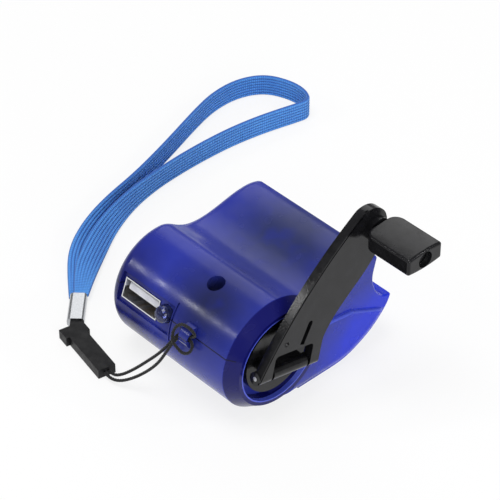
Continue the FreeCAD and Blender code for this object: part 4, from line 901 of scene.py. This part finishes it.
class StrandTree(Graph):
    """A geometry tree that lays parallel or twisted strands along a curve."""

    SOCKETS = {"Geometry": "Geometry", "Strands": "Int", "Spacing": "Float", "Strand Radius": "Float",
               "Sides": "Int", "Step": "Float", "Turns Per Metre": "Float", "Material": "Material"}

    def __init__(self, name: str, pattern: Pattern) -> None:
        """Builds the tree under its named inputs.

        Args:
            name: the tree's name.
            pattern: whether the strands lie side by side or twist.
        """
        super().__init__(bpy.data.node_groups.new(name, "GeometryNodeTree"))
        self.pattern = pattern
        self.add_socket("Geometry", "Geometry", "OUTPUT")
        for label, kind in self.SOCKETS.items():
            self.add_socket(label, kind, "INPUT")
        self.inputs = self.node("NodeGroupInput").outputs
        self.build()

    def add_socket(self, label: str, kind: str, side: str) -> None:
        """Adds an input or output socket to the tree."""
        self.tree.interface.new_socket(label, in_out=side, socket_type=f"NodeSocket{kind}")

    def scaled(self, direction: Socket, length: Socket) -> Socket:
        """Scales a direction to a length."""
        inputs = {"Vector": direction, "Scale": length}
        return self.node("ShaderNodeVectorMath", inputs, operation="SCALE").outputs["Vector"]

    def joined(self, operation: str, first: Socket, second: Socket) -> Socket:
        """Makes one vector out of two by a vector operation."""
        inputs = {0: first, 1: second}
        return self.node("ShaderNodeVectorMath", inputs, operation=operation).outputs["Vector"]

    def capture(self, geometry: Socket, fields: dict[str, tuple[str, Socket]]) -> Node:
        """Stores fields on a geometry's points before it changes.

        Args:
            geometry: the geometry that carries them.
            fields: for each name, its kind and the field.

        Returns:
            The node, whose outputs are the geometry and the fields.
        """
        capture = self.node("GeometryNodeCaptureAttribute", {"Geometry": geometry}, domain="POINT")
        for name, (kind, value) in fields.items():
            capture.capture_items.new(kind, name)
            self.feed(capture, name, value)
        return capture

    def flat_offset(self, copy: Socket, rise: Socket, spread: Socket) -> Socket:
        """Lays the strands side by side.

        Args:
            copy: the strand's number.
            rise: the direction that the strands are laid out in.
            spread: the gathering, 1 where the cord has its full width.

        Returns:
            How far each strand lies from the cord's own line.
        """
        last = self.calculate("SUBTRACT", self.inputs["Strands"], 1.0)
        from_middle = self.calculate("SUBTRACT", copy, self.calculate("DIVIDE", last, 2.0))
        distance = self.calculate("MULTIPLY", from_middle, self.inputs["Spacing"])
        return self.scaled(rise, self.calculate("MULTIPLY", distance, spread))

    def twisted_offset(self, copy: Socket, side: Socket, rise: Socket, along: Socket) -> Socket:
        """Twists the strands round the cord's own line.

        Args:
            copy: the strand's number.
            side: a direction across the cord.
            rise: the direction square to it and to the cord.
            along: the distance from the cord's start.

        Returns:
            How far each strand lies from the cord's own line.
        """
        share = self.calculate("DIVIDE", copy, self.inputs["Strands"])
        turns = self.calculate("MULTIPLY_ADD", along, self.inputs["Turns Per Metre"], share)
        angle = self.calculate("MULTIPLY", turns, math.tau)
        reaches = []
        for direction, wave in ((side, "COSINE"), (rise, "SINE")):
            reach = self.calculate("MULTIPLY", self.calculate(wave, angle), self.inputs["Spacing"])
            reaches.append(self.scaled(direction, reach))
        return self.joined("ADD", *reaches)

    def line(self) -> Node:
        """Cuts the curve into even steps and keeps its directions.

        Returns:
            The node that holds the cut curve with its side, rise, along and spread.
        """
        steps = {"Curve": self.inputs["Geometry"], "Length": self.inputs["Step"]}
        even = self.node("GeometryNodeResampleCurve", steps, mode="LENGTH")
        tangent = self.node("GeometryNodeInputTangent").outputs["Tangent"]
        normal = self.node("GeometryNodeInputNormal").outputs["Normal"]
        return self.capture(even.outputs["Curve"], {
            "side": ("VECTOR", normal),
            "rise": ("VECTOR", self.joined("CROSS_PRODUCT", tangent, normal)),
            "along": ("FLOAT", self.node("GeometryNodeSplineParameter").outputs["Length"]),
            "spread": ("FLOAT", self.node("GeometryNodeInputRadius").outputs["Radius"]),
        })

    def strands(self, line: Node) -> Socket:
        """Puts a copy of the line where each strand goes.

        Args:
            line: the node that holds the cut curve.

        Returns:
            The strands' curves.
        """
        inputs = {"Geometry": line.outputs["Geometry"], "Amount": self.inputs["Strands"]}
        copies = self.node("GeometryNodeDuplicateElements", inputs, domain="SPLINE")
        copy = copies.outputs["Duplicate Index"]
        side, rise, along, spread = (line.outputs[name] for name in ("side", "rise", "along", "spread"))
        if self.pattern is Pattern.FLAT_BRAID:
            offset = self.flat_offset(copy, rise, spread)
        else:
            offset = self.twisted_offset(copy, side, rise, along)
        inputs = {"Geometry": copies.outputs["Geometry"], "Offset": offset}
        return self.node("GeometryNodeSetPosition", inputs).outputs["Geometry"]

    def profile(self) -> Node:
        """Makes the strand's round section.

        Returns:
            The node that holds the section, and how far across the strand each of its points is.
        """
        sizes = {"Resolution": self.inputs["Sides"], "Radius": self.inputs["Strand Radius"]}
        circle = self.node("GeometryNodeCurvePrimitiveCircle", sizes, mode="RADIUS")
        height = self.axes(self.node("GeometryNodeInputPosition").outputs["Position"])[1]
        across = self.calculate("DIVIDE", height, self.inputs["Strand Radius"])
        return self.capture(circle.outputs["Curve"], {"across": ("FLOAT", across)})

    def build(self) -> None:
        """Sweeps the section along the strands, keeps each point's place and adds the finish."""
        line = self.line()
        section = self.profile()
        inputs = {"Curve": self.strands(line), "Profile Curve": section.outputs["Geometry"],
                  "Fill Caps": True}
        mesh = self.node("GeometryNodeCurveToMesh", inputs).outputs["Mesh"]
        for name, kept in (("along", line), ("across", section)):
            inputs = {"Geometry": mesh, "Name": name, "Value": kept.outputs[name]}
            kind = {"data_type": "FLOAT", "domain": "POINT"}
            mesh = self.node("GeometryNodeStoreNamedAttribute", inputs, **kind).outputs["Geometry"]
        for kind in ("SetShadeSmooth", "RealizeInstances"):
            mesh = self.node(f"GeometryNode{kind}", {"Geometry": mesh}).outputs["Geometry"]
        inputs = {"Geometry": mesh, "Material": self.inputs["Material"]}
        mesh = self.node("GeometryNodeSetMaterial", inputs).outputs["Geometry"]
        self.node("NodeGroupOutput", {"Geometry": mesh})


@dataclass(frozen=True)
class RoutePoint:
    """A cord's control point: its place, its lean from upright and how far it is gathered."""

    x: float
    y: float
    z: float
    lean_degrees: float = 0.0
    gather: float = 1.0


def route_of(*rows: tuple[float, ...]) -> tuple[RoutePoint, ...]:
    """Makes a route from places in metres, with any lean and gathering."""
    return tuple(RoutePoint(*row) for row in rows)


@dataclass
class StrandCord:
    """A cord of strands along a smooth route."""

    name: str
    route: tuple[RoutePoint, ...]
    pattern: Pattern
    strands: int
    spacing: float
    strand_radius: float
    finish: Finish
    step: float
    sides: int = 8
    turns_per_metre: float = 0.0
    curve_steps: int = 12
    curve_order: int = 3

    def curve(self) -> bpy.types.Object:
        """Makes the cord's line.

        Returns:
            A curve object with one open smooth spline.
        """
        data = bpy.data.curves.new(f"{self.name}_line", "CURVE")
        data.dimensions = "3D"
        data.twist_mode = "Z_UP"
        data.resolution_u = self.curve_steps
        spline = data.splines.new("NURBS")
        spline.points.add(len(self.route) - 1)
        for point, place in zip(spline.points, self.route):
            point.co = (place.x, place.y, place.z, 1.0)
            point.tilt = math.radians(place.lean_degrees)
            point.radius = place.gather
        spline.order_u = self.curve_order
        spline.use_endpoint_u = True
        return show(data.name, data)

    def centre_points(self, line: bpy.types.Object) -> list[Point]:
        """Reads the smooth line's points from its curve."""
        mesh = bpy.data.meshes.new_from_object(line)
        return [tuple(vertex.co) for vertex in mesh.vertices]

    def add_strands(self, line: bpy.types.Object) -> None:
        """Lays the strands along the line.

        Args:
            line: the curve object that they follow.
        """
        tree = StrandTree(f"{self.name}_strands", self.pattern).tree
        modifier = line.modifiers.new("strands", "NODES")
        modifier.node_group = tree
        values = {"Strands": self.strands, "Spacing": self.spacing, "Strand Radius": self.strand_radius,
                  "Sides": self.sides, "Step": self.step, "Turns Per Metre": self.turns_per_metre,
                  "Material": self.finish.material()}
        for item in tree.interface.items_tree:
            if item.name in values:
                modifier[item.identifier] = values[item.name]

    def build(self) -> tuple[bpy.types.Object, list[Point]]:
        """Makes the cord's mesh.

        Returns:
            The finished piece and the points that it follows.
        """
        line = self.curve()
        path = self.centre_points(line)
        self.add_strands(line)
        evaluated = line.evaluated_get(bpy.context.evaluated_depsgraph_get())
        mesh = bpy.data.meshes.new_from_object(evaluated)
        piece = show(self.name, mesh)
        bpy.data.objects.remove(line)
        log.info("built %s: %d strands, %d faces", self.name, self.strands, len(mesh.polygons))
        return piece, path


# ---------- sub-assemblies


# The string makes a small hitch round the case's eye and comes back beside itself.
STRING_ROUTE = route_of(
    (-0.02537, -0.03571, 0.0014),
    (-0.0232, -0.0361, 0.0015),
    (-0.0206, -0.0352, 0.0029),
    (-0.0176, -0.0334, 0.0058),
    (-0.0144, -0.0322, 0.0096),
    (-0.0114, -0.0312, 0.0132),
    (-0.0088, -0.0302, 0.017),
    (-0.0072, -0.0293, 0.02),
    (-0.006, -0.0279, 0.0222),
    (-0.0019, -0.0273, 0.0227),
    (-0.0008, -0.0274, 0.0242),
    (-0.0024, -0.0277, 0.0256),
    (-0.0052, -0.0278, 0.0255),
    (-0.0068, -0.0284, 0.0242),
    (-0.0074, -0.0292, 0.0222),
    (-0.0066, -0.0301, 0.0203),
    (-0.0046, -0.0302, 0.0192),
    (-0.0024, -0.0301, 0.0187),
    (-0.0009, -0.0293, 0.0196),
    (-0.0009, -0.0283, 0.0212),
    (-0.0024, -0.0277, 0.0219),
    (-0.0056, -0.0279, 0.0218),
    (-0.0069, -0.0299, 0.0193),
    (-0.0083, -0.031, 0.0156),
    (-0.0106, -0.0319, 0.011),
    (-0.0139, -0.0332, 0.0068),
    (-0.0172, -0.0349, 0.0036),
    (-0.0204, -0.0366, 0.0016),
    (-0.02342, -0.03731, 0.0012),
    (-0.02561, -0.03689, 0.0014),
)

# The strap lies flat at the crimp and stands on its edge everywhere else.
STRAP_ROUTE = route_of(
    (-0.05393, -0.02318, 0.00085, -90, 0.50),
    (-0.06035, -0.01689, 0.0009, -86, 0.95),
    (-0.0672, -0.0109, 0.00195, -65),
    (-0.0722, -0.0022, 0.00296, -40),
    (-0.076, 0.0076, 0.00343, -15),
    (-0.0792, 0.0184, 0.0034),
    (-0.0826, 0.0294, 0.0034),
    (-0.0864, 0.0404, 0.0034),
    (-0.0904, 0.0512, 0.0034),
    (-0.0937, 0.0618, 0.0034),
    (-0.0939, 0.0718, 0.0034),
    (-0.0902, 0.0796, 0.0034),
    (-0.0826, 0.0829, 0.0034),
    (-0.0764, 0.083, 0.0034),
    (-0.0719, 0.0806, 0.0034),
    (-0.0729, 0.0758, 0.0034),
    (-0.0745, 0.0694, 0.0034),
    (-0.0759, 0.0626, 0.0034),
    (-0.077, 0.0544, 0.0034),
    (-0.0774, 0.045, 0.0034),
    (-0.0772, 0.0348, 0.0034),
    (-0.0763, 0.0244, 0.0034),
    (-0.0742, 0.0134, 0.00345, 10),
    (-0.0704, 0.0026, 0.00325, 32),
    (-0.0654, -0.0066, 0.00275, 58),
    (-0.05931, -0.01582, 0.0021, 84, 0.95),
    (-0.05288, -0.02212, 0.00195, 90, 0.50),
)


@dataclass
class SubAssembly:
    """CAD pieces that are dressed in their finishes."""

    finishes: Finishes

    def build(self) -> None:
        """Dresses the pieces."""
        for finish, nodes in self.finishes:
            dress(nodes, finish)


@dataclass
class Lanyard(SubAssembly):
    """The wrist strap, its crimp, the clip and the string in the case's eye."""

    finishes: Finishes = (
        (CLIP_PLASTIC, ("lanyard_clip",)),
        (CRIMP_METAL, ("lanyard_crimp",)),
    )
    string_diameter: float = 0.0009
    string_length: float = 0.0920
    string_exit: Point = (-0.0255, -0.0363, 0.0014)
    string_strands: int = 3
    string_strand_share: float = 0.27
    string_step: float = 0.0003
    string_turns_per_metre: float = 420.0
    strap_width: float = 0.0068
    strap_thickness: float = 0.0011
    strap_length: float = 0.2423
    strap_exit: Point = (-0.0534, -0.0226, 0.0014)
    strap_ribs: int = 7
    strap_step: float = 0.0007

    def string(self) -> None:
        """Builds the thin black string."""
        strand = self.string_diameter * self.string_strand_share
        cord = StrandCord("black_string", STRING_ROUTE, Pattern.TWIST, self.string_strands,
                          spacing=self.string_diameter / 2 - strand, strand_radius=strand,
                          finish=STRING_YARN, step=self.string_step,
                          turns_per_metre=self.string_turns_per_metre)
        piece, path = cord.build()
        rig.ride(piece, Body.CASE.value)
        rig.replaces(piece, "lanyard_string")
        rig.slot(piece, "black_cord")
        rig.cord(piece, exit=self.string_exit, length=self.string_length, diameter=self.string_diameter,
                far_end="object", stiffness=Stiffness.LIMP.value, lay="loose", path=path,
                with_pieces=[frame["nodes"]["lanyard_clip"]])

    def strap(self) -> None:
        """Builds the ribbed blue wrist strap."""
        rib = self.strap_thickness / 2
        cord = StrandCord("blue_wrist_strap", STRAP_ROUTE, Pattern.FLAT_BRAID, self.strap_ribs,
                          spacing=(self.strap_width - self.strap_thickness) / (self.strap_ribs - 1),
                          strand_radius=rib, finish=STRAP_YARN, step=self.strap_step)
        piece, path = cord.build()
        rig.ride(piece, Body.CASE.value)
        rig.replaces(piece, "wrist_strap")
        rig.slot(piece, "blue_strap")
        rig.cord(piece, exit=self.strap_exit, length=self.strap_length, diameter=self.strap_width,
                far_end="object", stiffness=Stiffness.MEDIUM.value, lay="loose", path=path,
                with_pieces=[frame["nodes"]["lanyard_crimp"]])

    def build(self) -> None:
        """Builds the cords and dresses what joins them."""
        self.string()
        self.strap()
        super().build()


@dataclass
class Casing(SubAssembly):
    """The two tinted halves of the case and the screws that hold them."""

    finishes: Finishes = (
        (TintedPlastic(), ("upper_shell", "lower_shell")),
        (STEEL, ("casing_screws",)),
    )


@dataclass
class Crank(SubAssembly):
    """The disc, the folding arm and the turning knob, with the pins they turn on."""

    finishes: Finishes = (
        (BLACK_PLASTIC, ("crank_disc", "crank_arm", "crank_knob")),
        (STEEL, ("hinge_pin", "knob_screw", "crank_shaft")),
    )


@dataclass
class GearTrain(SubAssembly):
    """The step-up gears between their plates."""

    finishes: Finishes = (
        (GEAR_PLASTIC, ("crank_gear", "first_idler_gear", "second_idler_gear")),
        (PLATED_SHEET, ("outer_gear_plate", "inner_gear_plate")),
        (STEEL, ("idler_axles", "gear_frame_rivets")),
        (BRASS, ("gear_spacers", "crank_bush", "motor_pinion")),
    )


@dataclass
class Generator(SubAssembly):
    """The small motor that works as a generator."""

    finishes: Finishes = (
        (PLATED_SHEET, ("motor_can",)),
        (WHITE_PLASTIC, ("motor_end_cap",)),
        (FERRITE, ("motor_magnets",)),
        (BRASS, ("motor_terminals",)),
        (COPPER_WINDING, ("motor_armature",)),
    )


@dataclass
class Electronics(SubAssembly):
    """The board with its parts, the socket and the lamp."""

    finishes: Finishes = (
        (CoatedBoard(), ("circuit_board",)),
        (PLATED_SHEET, ("usb_shell",)),
        (WHITE_PLASTIC, ("usb_tongue",)),
        (BRASS, ("usb_contacts",)),
        (ClearResin(), ("charge_lamp",)),
        (CAPACITOR_SLEEVE, ("capacitor",)),
        (PACKAGE, ("regulator_chip", "rectifier_diodes")),
        (WIRE_COVER, ("generator_wires",)),
    )


# ---------- studio


@dataclass(frozen=True)
class SoftBox:
    """A square area lamp that faces the object."""

    name: str
    place: Point
    size: float
    power: float

    def build(self, target: Vector) -> None:
        """Hangs the lamp and turns it to the target.

        Args:
            target: the point that it faces.
        """
        data = bpy.data.lights.new(self.name, "AREA")
        data.shape = "SQUARE"
        data.size = self.size
        data.energy = self.power
        lamp = show(self.name, data)
        lamp.location = self.place
        lamp.rotation_mode = "QUATERNION"
        lamp.rotation_quaternion = (target - lamp.location).to_track_quat("-Z", "Y")


@dataclass(frozen=True)
class Viewpoint:
    """The camera's place, found from where the crank's centre falls in the frame."""

    azimuth: float = 47.2
    elevation: float = 39.0
    focal_pixels: float = 2280.0
    pixels_per_metre: float = 4020.0
    anchor: Point = CRANK_CENTRE
    anchor_pixel: tuple[float, float] = (279.3, 358.2)
    frame_pixels: float = 500.0
    sensor_mm: float = 36.0
    nearest_seen: float = 0.01

    def build(self) -> None:
        """Makes the camera and sets it as the scene's own."""
        turn, tip = math.radians(self.azimuth), math.radians(self.elevation)
        back = Vector((math.sin(turn) * math.cos(tip), -math.cos(turn) * math.cos(tip), math.sin(tip)))
        right = Vector((math.cos(turn), math.sin(turn), 0.0))
        up = back.cross(right)
        column = self.anchor_pixel[0] - self.frame_pixels / 2
        row = self.frame_pixels / 2 - self.anchor_pixel[1]
        target = Vector(self.anchor) - (right * column + up * row) / self.pixels_per_metre
        data = bpy.data.cameras.new("camera")
        data.sensor_width = self.sensor_mm
        data.lens = self.focal_pixels * self.sensor_mm / self.frame_pixels
        data.clip_start = self.nearest_seen
        camera = show("camera", data)
        camera.location = target + back * (self.focal_pixels / self.pixels_per_metre)
        camera.rotation_mode = "QUATERNION"
        camera.rotation_quaternion = (-back).to_track_quat("-Z", "Y")
        bpy.context.scene.camera = camera


@dataclass
class Studio:
    """A pale floor, soft lamps and the camera."""

    viewpoint: Viewpoint = Viewpoint()
    floor_size: float = 8.0
    floor_colour: Colour = (0.90, 0.90, 0.90)
    floor_glow: float = 0.80
    sky_strength: float = 0.30
    lit_point: Point = (0.0, 0.0, 0.02)
    lamps: tuple[SoftBox, ...] = (
        SoftBox("key", place=(-0.05, -0.15, 1.1), size=0.6, power=7.0),
        SoftBox("fill", place=(0.95, -0.35, 0.4), size=0.6, power=5.0),
        SoftBox("back", place=(-0.55, 0.55, 0.6), size=0.5, power=1.2),
        SoftBox("glint_front", place=(-0.68, -0.73, 0.6), size=0.1, power=1.0),
        SoftBox("glint_end", place=(0.75, 0.63, 0.68), size=0.1, power=1.2),
    )

    def seen(self, graph: Graph) -> Socket:
        """Finds the rays that see the background straight, in gloss or through clear things.

        Args:
            graph: the material's graph.

        Returns:
            A value of 1 for those rays and of 0 for all others.
        """
        rays = graph.node("ShaderNodeLightPath").outputs
        straight_or_glossy = graph.calculate("MAXIMUM", rays["Is Camera Ray"], rays["Is Glossy Ray"])
        return graph.calculate("MAXIMUM", straight_or_glossy, rays["Is Transmission Ray"])

    def floor_material(self) -> Material:
        """Builds the floor's white, which keeps a soft shadow.

        Returns:
            The material.
        """
        material = bpy.data.materials.new("studio_floor")
        material.use_nodes = True
        graph = Graph(material.node_tree)
        graph.tree.nodes.clear()
        share = graph.calculate("MULTIPLY", self.seen(graph), self.floor_glow)
        matt = graph.node("ShaderNodeBsdfDiffuse", {"Color": (*self.floor_colour, 1.0)})
        white = graph.node("ShaderNodeEmission", {"Color": OPAQUE_WHITE})
        inputs = {"Fac": share, 1: matt.outputs["BSDF"], 2: white.outputs["Emission"]}
        mixed = graph.node("ShaderNodeMixShader", inputs)
        graph.node("ShaderNodeOutputMaterial", {"Surface": mixed.outputs["Shader"]})
        return material

    def floor(self) -> None:
        """Lays the floor under the object."""
        half = self.floor_size / 2
        places = [(-half, -half, 0), (half, -half, 0), (half, half, 0), (-half, half, 0)]
        mesh = bpy.data.meshes.new("studio_floor")
        mesh.from_pydata(places, [], [(0, 1, 2, 3)])
        mesh.materials.append(self.floor_material())
        floor = show("studio_floor", mesh)
        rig.stage(floor)

    def sky(self) -> None:
        """Surrounds the scene with an even light that fills the shadows."""
        world = bpy.data.worlds.new("studio_sky")
        world.use_nodes = True
        bpy.context.scene.world = world
        background = world.node_tree.nodes["Background"]
        background.inputs["Color"].default_value = OPAQUE_WHITE
        background.inputs["Strength"].default_value = self.sky_strength

    def build(self) -> None:
        """Sets up the studio."""
        self.floor()
        self.sky()
        for lamp in self.lamps:
            lamp.build(Vector(self.lit_point))
        self.viewpoint.build()
        bpy.context.scene.view_settings.view_transform = "Standard"


def corners() -> list[list[float]]:
    """Gives the shown object's box as two plain lists."""
    return [list(corner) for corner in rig.bounds()]


def main() -> None:
    """Builds every sub-assembly and the studio, and writes the box before and after."""
    logging.basicConfig(level=logging.INFO, format="%(message)s")
    cad_box = corners()
    for assembly in (Studio(), Lanyard(), Casing(), Crank(), GearTrain(), Generator(), Electronics()):
        assembly.build()
        log.info("%s is done", type(assembly).__name__)
    with open(SIZE_FILE, "w") as out:
        json.dump({"cad": cad_box, "visual": corners()}, out)


if __name__ == "__main__":
    main()
